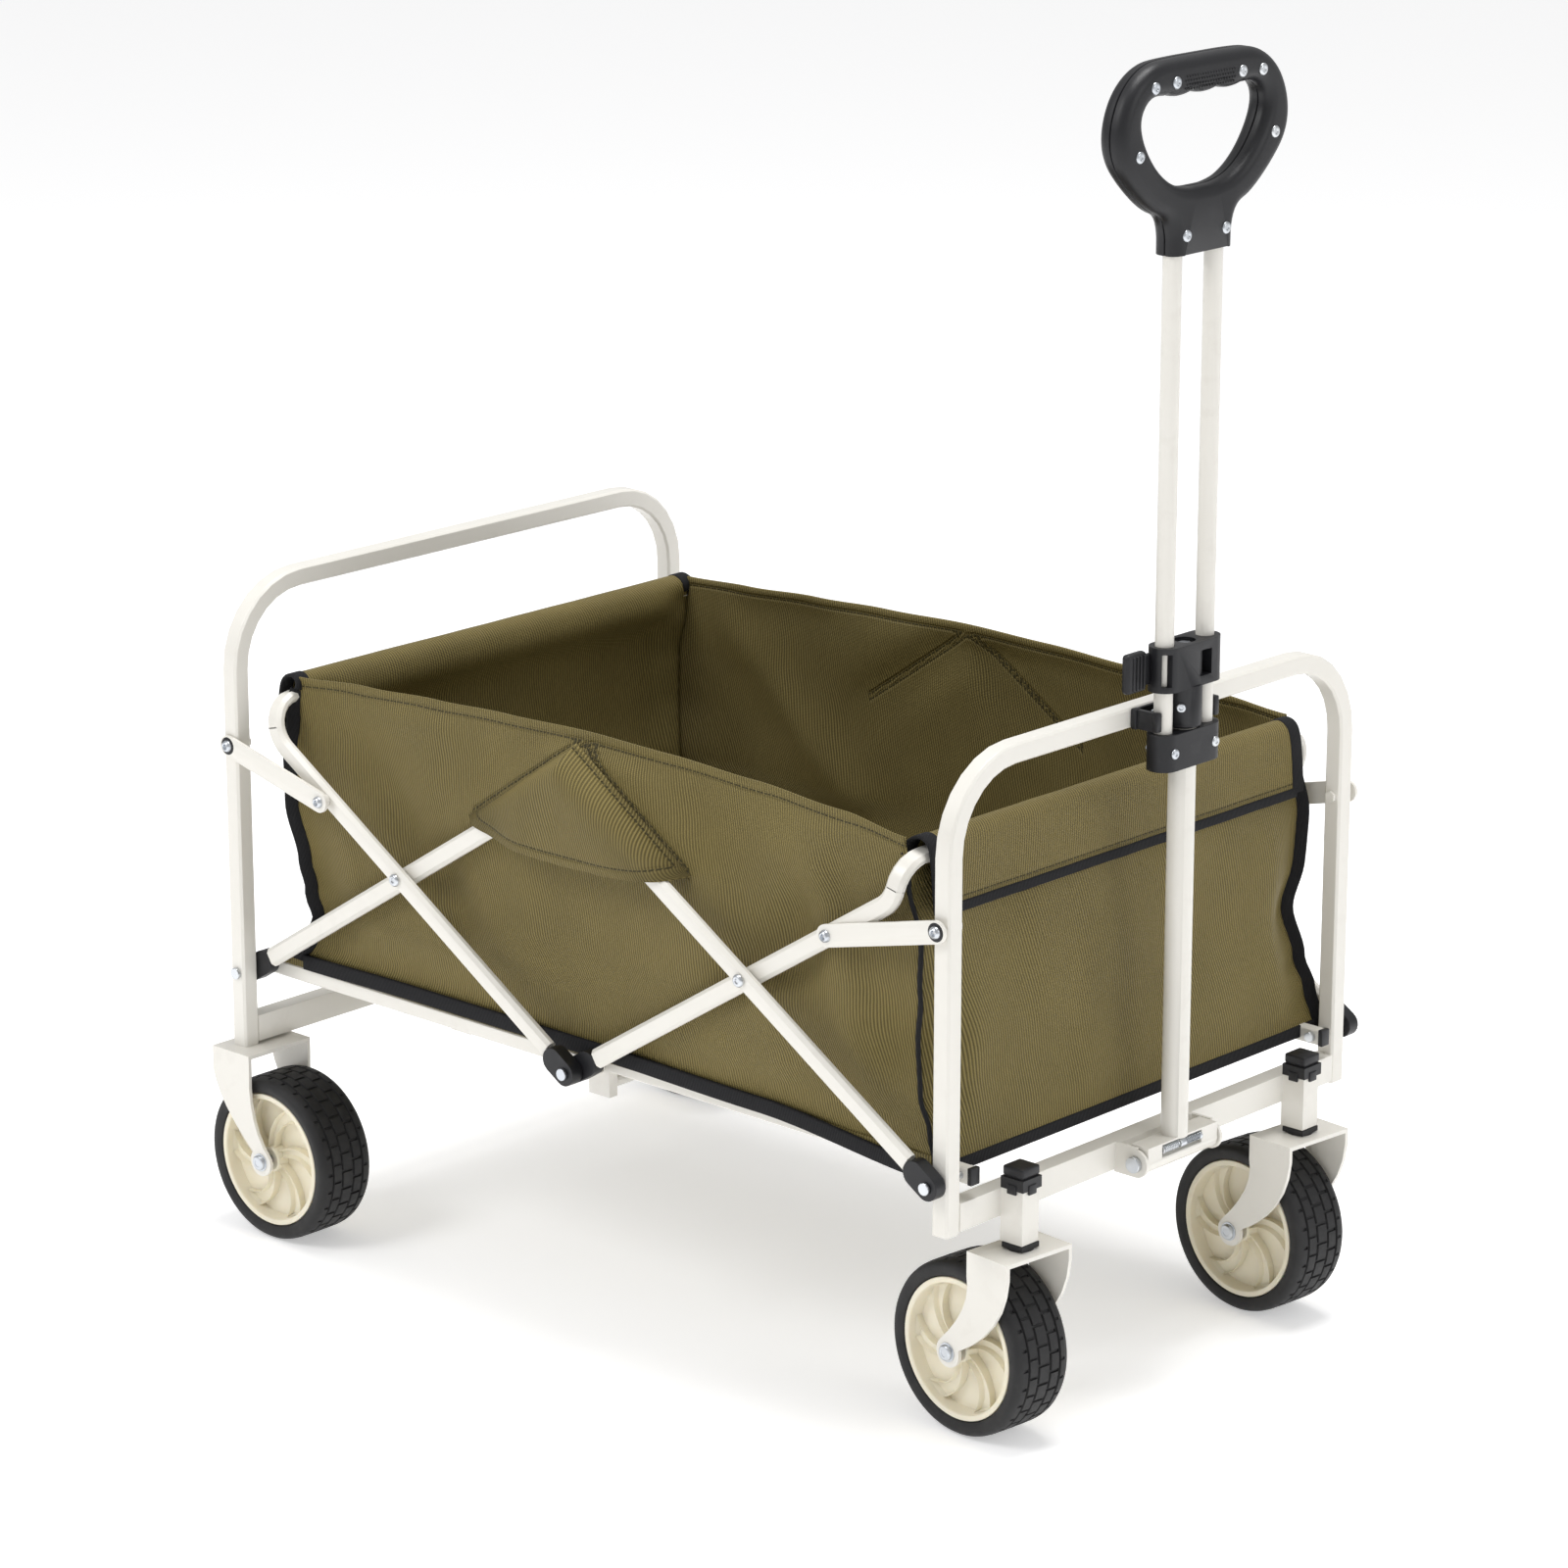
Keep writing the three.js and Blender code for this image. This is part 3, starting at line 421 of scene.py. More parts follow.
# Spins a closed profile of (radius, across) points about the wheel's axis.
def spinProfile(bm, points, steps):
    verts = [bm.verts.new((0, w * mm, r * mm)) for r, w in points]
    edges = [bm.edges.new(pair) for pair in zip(verts, verts[1:])]
    edges.append(bm.edges.new((verts[-1], verts[0])))
    bmesh.ops.spin(bm, geom=verts + edges, cent=(0, 0, 0), axis=(0, 1, 0), angle=2 * pi, steps=steps, use_merge=True)
    bmesh.ops.remove_doubles(bm, verts=bm.verts, dist=0.002 * mm)
    bmesh.ops.recalc_face_normals(bm, faces=bm.faces)


# Sinks staggered slots across each rib.
def cutTread(bm):
    half = tyre["width"] / 2
    slots = []
    for face in bm.faces:
        centre = face.calc_center_median()
        reach = hypot(centre.x, centre.z) / mm
        if reach < tyre["radius"] - 1.0 or abs(centre.y) / mm > half - tyre["shoulder"]:
            continue
        across = centre.y / mm
        rib = sum(across > groove for groove in tyre["grooves"])
        step = round((atan2(centre.z, centre.x) / (2 * pi)) * tyre["steps"] - 0.5)
        if (step + tyre["ribShift"][rib]) % tyre["blockSteps"] == 0:
            slots.append(face)
    bmesh.ops.inset_region(bm, faces=slots, thickness=tyre["slotEdge"] * mm, use_boundary=True, use_even_offset=True)
    for face in slots:
        for vert in face.verts:
            reach = hypot(vert.co.x, vert.co.z)
            factor = (tyre["radius"] - tyre["grooveDepth"]) * mm / reach
            vert.co.x *= factor
            vert.co.z *= factor


casterTurn = radians(-5)       # how far the casters are turned at rest


def wheelPlace(end, side):
    turn = Matrix.Rotation(casterTurn, 4, "Z") if end == "front" else Matrix.Identity(4)
    return Matrix.Translation(middle(f"{end}_hub_{side}")) @ turn


def makeTyre(end, side):
    bm = bmesh.new()
    spinProfile(bm, tyreProfile(), tyre["steps"])
    cutTread(bm)
    bm.transform(wheelPlace(end, side))
    piece = finishPiece(bm, f"tyre_{end}_{side}", tyreRubber, f"{end}_wheel_{side}", "tyre", 32)
    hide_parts(f"{end}_tyre_{side}")


hub = {"rimOut": 60.6, "rimIn": 55.5, "rimFace": 27.4, "web": 15.0, "boss": 11.5, "bossFace": 26.0, "spokes": 6,
       "swirl": 34, "spokeHigh": 24.0, "spokeFall": 0.34, "ribWidth": 1.7, "pocket": 4.2}


# Points up one edge of a swirling spoke, from boss to rim.
def spokeOutline(side):
    points = []
    for i in range(9):
        t = i / 8
        radius = hub["boss"] - 1 + t * (hub["rimIn"] + 0.8 - hub["boss"])
        centreAngle = radians(hub["swirl"]) * t ** 1.6
        width = (7.5 + 13 * t ** 2.2) / 2
        angle = centreAngle + side * width / radius
        points.append((radius * sin(angle), radius * cos(angle)))
    return points


# A raised blade with a rib along each edge; face is +1 outside, -1 inside.
def addSpoke(bm, face):
    ring = spokeOutline(-1) + spokeOutline(1)[::-1]
    low = hub["web"] - 0.5
    verts = [bm.verts.new((x * mm, face * low * mm, z * mm)) for x, z in ring]
    plate = bm.faces.new(verts)
    rise = Vector((0, face * (hub["spokeHigh"] - low) * mm, 0))
    lifted = bmesh.ops.extrude_face_region(bm, geom=[plate])["geom"]
    top = [v for v in lifted if isinstance(v, bmesh.types.BMVert)]
    topFace = [f for f in lifted if isinstance(f, bmesh.types.BMFace)][0]
    for vert in top:
        reach = hypot(vert.co.x, vert.co.z) / mm
        vert.co += rise * (1 - hub["spokeFall"] * ((reach - hub["boss"]) / (hub["rimIn"] - hub["boss"])))
    bmesh.ops.inset_region(bm, faces=[topFace], thickness=hub["ribWidth"] * mm, use_even_offset=True)
    for vert in topFace.verts:
        vert.co.y -= face * hub["pocket"] * mm


def makeHub(end, side):
    boss, rimIn, rimOut, web = hub["boss"], hub["rimIn"], hub["rimOut"], -hub["web"]
    bossFace, rimFace = -hub["bossFace"], -hub["rimFace"]
    points = [(boss - 7, bossFace), (boss - 1, bossFace), (boss, bossFace + 1), (boss + 1.5, web), (rimIn - 1.5, web),
              (rimIn, rimFace + 1), (rimIn + 0.8, rimFace), (rimOut - 0.5, rimFace), (rimOut, rimFace + 0.6)]
    profile = points + [(r, -w) for r, w in reversed(points)]
    bm = bmesh.new()
    spinProfile(bm, profile, 72)
    for number in range(hub["spokes"]):
        for face in (1, -1):
            part = bmesh.new()
            addSpoke(part, face)
            bmesh.ops.recalc_face_normals(part, faces=part.faces)
            part.transform(Matrix.Rotation(2 * pi * number / hub["spokes"], 4, "Y"))
            addTo(bm, part)
    bm.transform(wheelPlace(end, side))
    piece = finishPiece(bm, f"hub_{end}_{side}", hubPlastic, f"{end}_wheel_{side}", "hub_plastic", 30)
    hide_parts(f"{end}_hub_{side}")


makeCamera()
makeStudio()

for end in ("rear", "front"):
    for side in sides:
        makeTyre(end, side)
        makeHub(end, side)
print("wheels made")

slotFinish = {"frame_paint": framePaint, "black_plastic": blackPlastic, "zinc_steel": zincSteel,
              "tub_fabric": canvas, "hub_plastic": hubPlastic, "tyre": tyreRubber}
rebuilt = ("grip_front_shell", "grip_back_shell", "clamp_head", "cam_lever")
slotOfNode = {s["node"]: s["material_slot"] for s in frame["record"]["subparts"]}
for node, slotName in slotOfNode.items():
    repaint(node, slotFinish[slotName])
    if slotName in ("frame_paint", "black_plastic", "zinc_steel") and node not in rebuilt:
        refine(node, slotFinish[slotName], slotName)
print("hard pieces finished")


# One matrix for each path point: X to the side, Y up from the path, Z along it.
def pathFrames(points, up):
    frames = []
    for index, place in enumerate(points):
        before = points[max(index - 1, 0)]
        after = points[min(index + 1, len(points) - 1)]
        along = (after - before).normalized()
        upward = Vector(up(place) if callable(up) else up)
        side = along.cross(upward)
        if side.length < 1e-6:
            side = along.orthogonal()
        side.normalize()
        lift = side.cross(along) * -1 if side.cross(along).dot(upward) < 0 else side.cross(along)
        matrix = Matrix((side, lift, along)).transposed().to_4x4()
        matrix.translation = place
        frames.append(matrix)
    return frames


# Extrudes a closed outline of (side, up) points from frame to frame, and closes both ends.
def sweepRing(bm, outline, frames):
    verts = [bm.verts.new(frames[0] @ Vector((a, b, 0))) for a, b in outline]
    first = ring = [bm.edges.new((verts[i], verts[(i + 1) % len(verts)])) for i in range(len(verts))]
    for before, after in zip(frames, frames[1:]):
        made = bmesh.ops.extrude_edge_only(bm, edges=ring)["geom"]
        moved = [g for g in made if isinstance(g, bmesh.types.BMVert)]
        ring = [g for g in made if isinstance(g, bmesh.types.BMEdge) and all(v in moved for v in g.verts)]
        bmesh.ops.transform(bm, matrix=after @ before.inverted(), verts=moved)
    for loop in (first, ring):
        bmesh.ops.holes_fill(bm, edges=loop, sides=0)
    bmesh.ops.recalc_face_normals(bm, faces=bm.faces)


# A rounded rectangle as (side, up) points.
def roundOutline(width, height, corner, steps=3):
    points = []
    for quarter, (sx, sy) in enumerate(((1, 1), (-1, 1), (-1, -1), (1, -1))):
        for i in range(steps + 1):
            angle = (quarter + i / steps) * pi / 2
            points.append((sx * (width / 2 - corner) + corner * cos(angle),
                           sy * (height / 2 - corner) + corner * sin(angle)))
    return points


def ovalOutline(width, height, count=16):
    return [(width / 2 * cos(2 * pi * i / count), height / 2 * sin(2 * pi * i / count)) for i in range(count)]


# Smooth interpolation in a short table of (place, value) pairs.
def between(table, value):
    if value <= table[0][0]:
        return table[0][1]
    for (a, fa), (b, fb) in zip(table, table[1:]):
        if value <= b:
            t = (value - a) / (b - a)
            t = t * t * (3 - 2 * t)
            return fa + (fb - fa) * t
    return table[-1][1]


def smoothStep(low, high, value):
    t = min(1, max(0, (value - low) / (high - low)))
    return t * t * (3 - 2 * t)


# Places are in millimetres: x ahead of the rear legs, y out from the middle, z up from the floor.
tub = {
    "length": lengthX / mm, "crossInset": 44, "thickness": 1.6, "sideOut": 247.6, "keep": 0.3488,
    "rearCorner": ((250, 47), (280, 66), (300, 74), (320, 62), (345, 50), (400, 42), (440, 42), (480, 50), (522, 52)),
    "frontCorner": ((236, 795), (275, 783), (300, 772), (345, 763), (385, 770), (430, 772), (475, 760), (522, 756)),
    "cornerIn": ((240, 246), (300, 243), (345, 236), (400, 243), (522, 246)),
    "topEdge": ((30, 515), (120, 520), (210, 524.5), (300, 528), (404, 531), (500, 529.5), (600, 526), (700, 520),
                (778, 513)),
    "creases": ((395, 515, 250, 410, 22, 4.5), (408, 515, 560, 405, 22, 4.5), (110, 480, 300, 300, 26, -4),
                (700, 470, 520, 300, 30, -4.5), (640, 500, 735, 300, 20, 3.5), (150, 290, 330, 330, 20, 3),
                (470, 300, 640, 360, 22, 3)),
    "bottomEdge": ((40, 257), (200, 259), (404, 259), (600, 256), (795, 242)),
}
flap = {"peak": (401, 523), "halfWidth": 130, "tipHeight": 435, "hemSag": 11, "seamOut": 254.5}
flapSlope = (flap["peak"][1] - flap["tipHeight"]) / flap["halfWidth"]
flapLean = cos(atan2(flapSlope, 1))        # distance from the flap's edge for a drop below it
armSlope = 128 / 202       # rise of a scissor arm over its run


# Soft uneven waves of hanging cloth, in millimetres.
def foldWave(x, z, seed):
    place = Vector((x * 0.006 + seed, z * 0.008, seed * 3.1))
    fine = Vector((x * 0.019 + seed, z * 0.013 + x * 0.006, seed * 1.7))
    return 8.5 * noise.noise(place) + 3.6 * noise.noise(fine)


# A long soft crease from one point to another.
def ridge(x, z, x0, z0, x1, z1, width, height):
    dx, dz = x1 - x0, z1 - z0
    length = hypot(dx, dz)
    t = ((x - x0) * dx + (z - z0) * dz) / length ** 2
    away = abs((x - x0) * dz - (z - z0) * dx) / length
    return height * exp(-(away / width) ** 2) * smoothStep(-0.12, 0.15, t) * (1 - smoothStep(0.8, 1.15, t))


# How far the side cloth stands from the middle of the wagon.
def sideOut(x, z, seed):
    top = between(tub["topEdge"], x)
    bottom = between(tub["bottomEdge"], x)
    t = (z - bottom) / (top - bottom)
    pinned = smoothStep(0, 0.16, t) * smoothStep(0, 0.10, 1 - t)
    pinned *= smoothStep(30, 110, x) * (1 - smoothStep(700, 780, x))
    out = tub["sideOut"] + pinned * foldWave(x, z, seed)
    creases = 0
    for crease in tub["creases"]:
        creases += ridge(x, z, *crease)
    out += 2.3 * pinned * creases - 2.0 * pinned
    out += 4.5 * pinned - 6.5 * smoothStep(0.62, 1.0, t) - 3.0 * (1 - smoothStep(0, 0.3, t))
    out = 253 - 2 * log(1 + exp((253 - out) / 2)) if out > 245 else out
    return out - 4 * smoothStep(60, 0, x - 20) - 3 * smoothStep(90, 0, 790 - x)


# Distance in metres to the nearest sewn line of a side: the top hem, and the flap's two sewn edges.
def seamDistance(x, z):
    top = between(tub["topEdge"], x) - z
    px, pz = flap["peak"]
    line = abs(z - (pz - abs(x - px) * flapSlope)) * flapLean + 6.0
    if abs(x - px) > flap["halfWidth"] or z > pz:
        line = 50
    return min(top, line) * mm


# Lays the weave's map in metres, and the stitching's where the piece has any; both take a vertex.
def layMaps(bm, weaveAt, seamAt=None):
    weave = bm.loops.layers.uv.new("Weave")
    stitching = bm.loops.layers.uv.new("Seam") if seamAt else None
    for face in bm.faces:
        for loop in face.loops:
            loop[weave].uv = weaveAt(loop.vert)
            if seamAt:
                loop[stitching].uv = seamAt(loop.vert)


# A sheet from a grid: shape(u, v) places a point, seam(u, v) is (along, distance from the stitching).
def clothSheet(name, columns, rows, shape, seam, body, flatSize, goesWith=()):
    bm = bmesh.new()
    bmesh.ops.create_grid(bm, x_segments=columns, y_segments=rows, size=0.5)
    places = {v: (v.co.x + 0.5, v.co.y + 0.5) for v in bm.verts}
    layMaps(bm, lambda vert: (places[vert][0] * flatSize[0], places[vert][1] * flatSize[1]),
            lambda vert: seam(*places[vert]))
    for vert, (u, v) in places.items():
        vert.co = shape(u, v)
    piece = finishPiece(bm, name, canvas, body, "tub_fabric", 60)
    thick = piece.modifiers.new("cloth", "SOLIDIFY")
    thick.thickness = tub["thickness"] * mm
    thick.offset = 0
    return piece


def applyModifier(piece, name):
    bpy.context.view_layer.objects.active = piece
    bpy.ops.object.modifier_apply(modifier=name)


# Applies a piece's modifiers and gives it a mesh of its own.
def foldWithFrame(piece):
    for modifier in list(piece.modifiers):
        applyModifier(piece, modifier.name)
    spot(tub["crossInset"], 0, 400)
    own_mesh(piece)


def makeSidePanel(side):
    sign = sides[side]
    seed = 2.3 if side == "right" else 7.9

    def place(u, v):
        rough = 60 + u * 700
        bottom = between(tub["bottomEdge"], rough)
        top = between(tub["topEdge"], 34 + u * 742)
        z = bottom + v * (top - bottom)
        back = between(tub["rearCorner"], z)
        ahead = between(tub["frontCorner"], z)
        x = back + u * (ahead - back)
        return x, z

    def shape(u, v):
        x, z = place(u, v)
        out = sideOut(x, z, seed)
        corner = between(tub["cornerIn"], z)
        near = max(1 - smoothStep(0, 0.10, u), smoothStep(0.90, 1, u))
        out = out + (corner - out) * near
        return spot(x, sign * out, z)

    def seam(u, v):
        x, z = place(u, v)
        return (x * mm, seamDistance(x, z))

    piece = clothSheet(f"side_cloth_{side}", 150, 64, shape, seam, "rear_panel", (0.74, 0.262),
                       goesWith=[makeSideBindings(side)])
    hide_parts(f"side_panel_{side}")
    foldWithFrame(piece)


# The flap is tented over the two arms that meet at the peak.
def flapOut(x, z):
    px, pz = flap["peak"]
    below = (pz - abs(x - px) * flapSlope - z) * flapLean
    armRise = 496 - abs(x - 404) * armSlope
    over = 269.5 + 13.5 * smoothStep(-100, -45, x - 404)
    over -= 3.5 * smoothStep(8, 60, armRise - z)
    tent = 1 - exp(-(max(below, 0) / 7.5) ** 1.4)
    sway = 1.2 * noise.noise(Vector((x * 0.02, z * 0.02, 5.5)))
    return flap["seamOut"] + (over - flap["seamOut"]) * tent + sway * smoothStep(10, 40, below)


def makeFlap(side):
    sign = sides[side]
    px, pz = flap["peak"]

    def place(u, v):
        a = (u - 0.5) * 2 * flap["halfWidth"]
        x = px + a
        top = pz - abs(a) * flapSlope
        hem = flap["tipHeight"] - flap["hemSag"] * (1 - (a / flap["halfWidth"]) ** 2)
        return x, hem + v * (top - hem), top, hem

    def shape(u, v):
        x, z = place(u, v)[:2]
        return spot(x, sign * flapOut(x, z), z)

    def seam(u, v):
        x, z, top, hem = place(u, v)
        fromHem = z - hem
        fromEdge = (top - z) * flapLean * 2.2 + 3.5
        return (x * mm, min(fromHem, fromEdge) * mm)

    piece = clothSheet(f"peak_flap_{side}", 72, 34, shape, seam, "rear_panel", (0.262, 0.105))
    foldWithFrame(piece)


sleeve = {
    "front": ((14, 240), (19, 300), (25, 370), (30, 430), (34, 455), (44, 474), (55, 486), (57.5, 498), (54, 509),
              (45, 513.5), (36, 510.5), (31.5, 501), (28.5, 478), (26.5, 452)),
    "rear": ((49, 256), (42, 300), (36, 370), (34, 430), (36, 455), (45, 474), (55, 486), (57.5, 498), (54, 511),
             (45, 516.5), (35, 513), (30, 503), (27.5, 478), (26, 452)),
    "half": {"rear": 240, "front": 229}, "seed": {"rear": 4.4, "front": 9.2}, "mouthStart": 0.74, "steps": 40,
}


# A point a share t of the way along a polyline of (inset, height).
def alongPath(points, t):
    lengths = [hypot(b[0] - a[0], b[1] - a[1]) for a, b in zip(points, points[1:])]
    reach = t * sum(lengths)
    for (a, b), length in zip(zip(points, points[1:]), lengths):
        if reach <= length:
            s = reach / length
            return a[0] + (b[0] - a[0]) * s, a[1] + (b[1] - a[1]) * s
        reach -= length
    return points[-1]


def smoothPath(points, passes=3):
    for _ in range(passes):
        finer = [points[0]]
        for a, b in zip(points, points[1:]):
            finer.append((0.75 * a[0] + 0.25 * b[0], 0.75 * a[1] + 0.25 * b[1]))
            finer.append((0.25 * a[0] + 0.75 * b[0], 0.25 * a[1] + 0.75 * b[1]))
        finer.append(points[-1])
        points = finer
    return points


def makeEndPanel(end):
    points = smoothPath(list(sleeve[end]))
    length = sum(hypot(b[0] - a[0], b[1] - a[1]) for a, b in zip(points, points[1:]))
    cornerTable = tub["rearCorner"] if end == "rear" else tub["frontCorner"]
    sleeveHalf, seed = sleeve["half"][end], sleeve["seed"][end]

    def place(u, v):
        inset, z = alongPath(points, v)
        y = (u - 0.5) * 2
        loopShare = smoothStep(0.70, 0.79, v)
        corner = between(cornerTable, z)
        cornerInset = corner if end == "rear" else tub["length"] - corner
        nearCorner = smoothStep(0.80, 1.0, abs(y)) * (1 - loopShare)
        half = between(tub["cornerIn"], z) * (1 - loopShare) + sleeveHalf * loopShare
        free = (1 - smoothStep(0.58, 0.70, v)) * smoothStep(0, 0.12, v) * (1 - smoothStep(0.86, 1, abs(y)))
        wave = free * (foldWave(y * 240, z, seed) - 3.5 * (1 - y * y))
        wave += 0.8 * loopShare * noise.noise(Vector((y * 6, v * 9, seed)))
        inset += (cornerInset - inset) * nearCorner + wave
        return inset, y * half, z

    def at(inset, y, z):
        return spot(inset if end == "rear" else tub["length"] - inset, y, z)

    def shape(u, v):
        return at(*place(u, v))

    def seam(u, v):
        fromHem = (1 - v) * length
        return ((u - 0.5) * 0.48, fromHem * mm)

    body, steps, mouthStart = f"{end}_panel", sleeve["steps"], sleeve["mouthStart"]
    hem = [shape(i / steps, 0.999) for i in range(steps + 1)]
    trims = [strip("sleeve_hem_" + end, hem, (0, 0, 1), 3.4, 9, body)]
    for side, sign in sides.items():
        mouth, seamLine = [], []
        for i in range(45):
            inset, y, z = place(0.5 + 0.5 * sign, mouthStart + 0.26 * i / 44)
            mouth.append(at(inset, y + sign * 2.5, z))
        trims.append(strip(f"sleeve_mouth_{end}_{side}", mouth, (0, 1, 0), 3.2, 15, body))
        for i in range(steps + 1):
            inset, y, z = place(0.5 + 0.5 * sign, mouthStart * i / steps)
            seamLine.append(at(inset - 3.2, y + sign * 4.2, z))
        outward = (-0.7 if end == "rear" else 0.7, sign * 0.7, 0)
        trims.append(strip(f"corner_binding_{end}_{side}", seamLine, outward, 3.6, 12, body))
    bottom = [shape(i / steps, 0.004) for i in range(steps + 1)]
    trims.append(strip("bottom_binding_" + end, bottom, (0, 0, 1), 4.0, 11, body))
    piece = clothSheet(f"{end}_cloth", 96, 120, shape, seam, body, (0.485, length * mm),
                       goesWith=trims)
    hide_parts(f"{end}_panel")


# A folded black binding along a line: up is the direction across its width.
def strip(name, points, up, thick, wide, body, fold=False):
    bm = bmesh.new()
    frames = pathFrames(points, up)
    sweepRing(bm, roundOutline(thick * mm, wide * mm, 1.4 * mm, 2), frames)
    layMaps(bm, lambda vert: (vert.co.x + vert.co.y, vert.co.z + vert.co.y * 0.3))
    piece = finishPiece(bm, name, binding, body, "tub_fabric", 50)
    if fold:
        foldWithFrame(piece)
    return piece


def makeSideBindings(side):
    sign = sides[side]
    points = []
    for i in range(61):
        x = 52 + i / 60 * 738
        points.append(spot(x, sign * (tub["sideOut"] + 1.2), between(tub["bottomEdge"], x) - 3))
    return strip(f"bottom_binding_side_{side}", points, (0, 0, 1), 3.8, 14, "rear_panel", fold=True)


mat = {"halfWidth": 0.2474, "thick": 6.5, "endGap": 20.6, "start": 20, "rim": 22, "swell": 1.6, "uneven": 0.9,
       "height": 250.6}


# A padded board in two halves, meeting at the middle of the wagon.
def makeFloorBoard(end):
    length = tub["length"] / 2 - mat["endGap"]
    bm = bmesh.new()
    bmesh.ops.create_cube(bm, size=1)
    bmesh.ops.scale(bm, vec=(length * mm, 2 * 247.4 * mm, mat["thick"] * mm), verts=bm.verts)
    bmesh.ops.bisect_plane(bm, geom=bm.verts[:] + bm.edges[:] + bm.faces[:], plane_co=(0, 0, 0), plane_no=(1, 0, 0))
    bmesh.ops.subdivide_edges(bm, edges=[e for e in bm.edges if e.calc_length() > 0.05], cuts=18, use_grid_fill=True)
    for vert in bm.verts:
        co = vert.co
        rim = min(length * mm / 2 - abs(co.x), mat["halfWidth"] - abs(co.y)) / mm
        swell = smoothStep(0, mat["rim"], rim)
        if co.z > 0:
            uneven = mat["uneven"] * noise.noise(Vector((co.x * 14, co.y * 14, 3)))
            co.z += (mat["swell"] * swell + uneven) * mm * swell
    start = mat["start"]
    centre = start + length / 2 if end == "rear" else tub["length"] - start - length / 2
    bm.transform(Matrix.Translation(spot(centre, 0, mat["height"])))
    layMaps(bm, lambda vert: (vert.co.x, vert.co.y),
            lambda vert: (vert.co.x, min(abs(vert.co.y - mat["halfWidth"]), abs(vert.co.y + mat["halfWidth"]))))
    # The mat takes the darker canvas copy, which is painted shade for the inside of the tub.
    piece = finishPiece(bm, f"floor_mat_{end}", canvasPaintedShade, f"{end}_rails", "tub_fabric", 40)
    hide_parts(f"floor_{end}")


for end in ("rear", "front"):
    makeEndPanel(end)
    makeFloorBoard(end)
for side in sides:
    makeSidePanel(side)
    makeFlap(side)
print("fabric made")

headShapes = {       # (radius, height) as shares of the head, from its middle outwards
    "rivet": ((0, 0.45), (0.3, 0.5), (0.42, 0.92), (0.6, 1.0), (0.84, 0.8), (1, 0.3), (1, 0)),
    "dome": ((0, 1.0), (0.35, 0.96), (0.7, 0.74), (0.93, 0.38), (1, 0.05), (1, 0)),
    "socket": ((0, 0.35), (0.42, 0.35), (0.46, 0.94), (0.52, 1.0), (0.82, 0.96), (0.95, 0.78), (1, 0.5), (1, 0)),
    "washer": ((0, 0.8), (0.86, 1.0), (1, 0.75), (1, 0)),
    "bush": ((0, 1), (0.78, 1.0), (0.9, 0.86), (1, 0.5), (1, 0)),
}


# Joins a part made looking up to a piece's mesh, standing at a place and looking along an axis.
def standOn(bm, part, place, axis):
    part.transform(Matrix.Translation(place) @ Vector(axis).to_track_quat("Z", "Y").to_matrix().to_4x4())
    addTo(bm, part)


# A turned head stands on a face, looking along its axis.
def addHead(bm, shape, place, axis, radius, height, steps=20):
    part = bmesh.new()
    points = list(headShapes[shape]) + [(0, 0)]
    verts = [part.verts.new((r * radius * mm, 0, h * height * mm)) for r, h in points]
    edges = [part.edges.new(pair) for pair in zip(verts, verts[1:])]
    bmesh.ops.spin(part, geom=verts + edges, cent=(0, 0, 0), axis=(0, 0, 1), angle=2 * pi, steps=steps, use_merge=True)
    bmesh.ops.remove_doubles(part, verts=part.verts, dist=0.001 * mm)
    bmesh.ops.recalc_face_normals(part, faces=part.faces)
    standOn(bm, part, place, axis)


# A hexagon nut or bolt head with a chamfered rim.
def addHex(bm, place, axis, radius, height):
    part = bmesh.new()
    radius *= mm
    bmesh.ops.create_cone(part, cap_ends=True, segments=6, radius1=radius, radius2=radius, depth=height * mm)
    bmesh.ops.translate(part, verts=part.verts, vec=(0, 0, height / 2 * mm))
    bevelEdges(part, [e for e in part.edges if all(v.co.z > height * 0.9 * mm for v in e.verts)], 0.6 * mm, 2)
    bmesh.ops.recalc_face_normals(part, faces=part.faces)
    standOn(bm, part, place, axis)


# A rounded block, given its middle and size in millimetres, turned about Y where it leans.
def addBlock(bm, place, size, corner=0.8, lean=0.0, segments=2):
    part = bmesh.new()
    bmesh.ops.create_cube(part, size=1)
    bmesh.ops.scale(part, vec=[v * mm for v in size], verts=part.verts)
    bevelEdges(part, part.edges[:], corner * mm, segments)
    part.transform(Matrix.Translation(place) @ Matrix.Rotation(lean, 4, "Y"))
    addTo(bm, part)


pins = {
    "outerFace": 278.6, "innerFace": 253.0, "crossing": (202, 368), "linkFoot": (0, 450.6), "linkTop": (116.2, 422.4),
    "peakHeight": 496, "rivetRadius": 5.6, "rivetHigh": 2.6,
}


def makeArmPins(side):
    sign = sides[side]
    out = (0, sign, 0)
    x, z = pins["crossing"]
    groups = {"rear_cross": [(x, z)], "front_arms": [(tub["length"] - x, z), (tub["length"] / 2, pins["peakHeight"])]}
    for body, places in groups.items():
        bm = bmesh.new()
        for x, z in places:
            outside = spot(x, sign * (pins["outerFace"] - 0.4), z)
            addHead(bm, "rivet", outside, out, pins["rivetRadius"], pins["rivetHigh"])
            addHead(bm, "dome", spot(x, sign * pins["innerFace"], z), (0, -sign, 0), 5.0, 1.6, 14)
        finishMetal(bm, f"crossing_rivets_{body}_{side}", body)


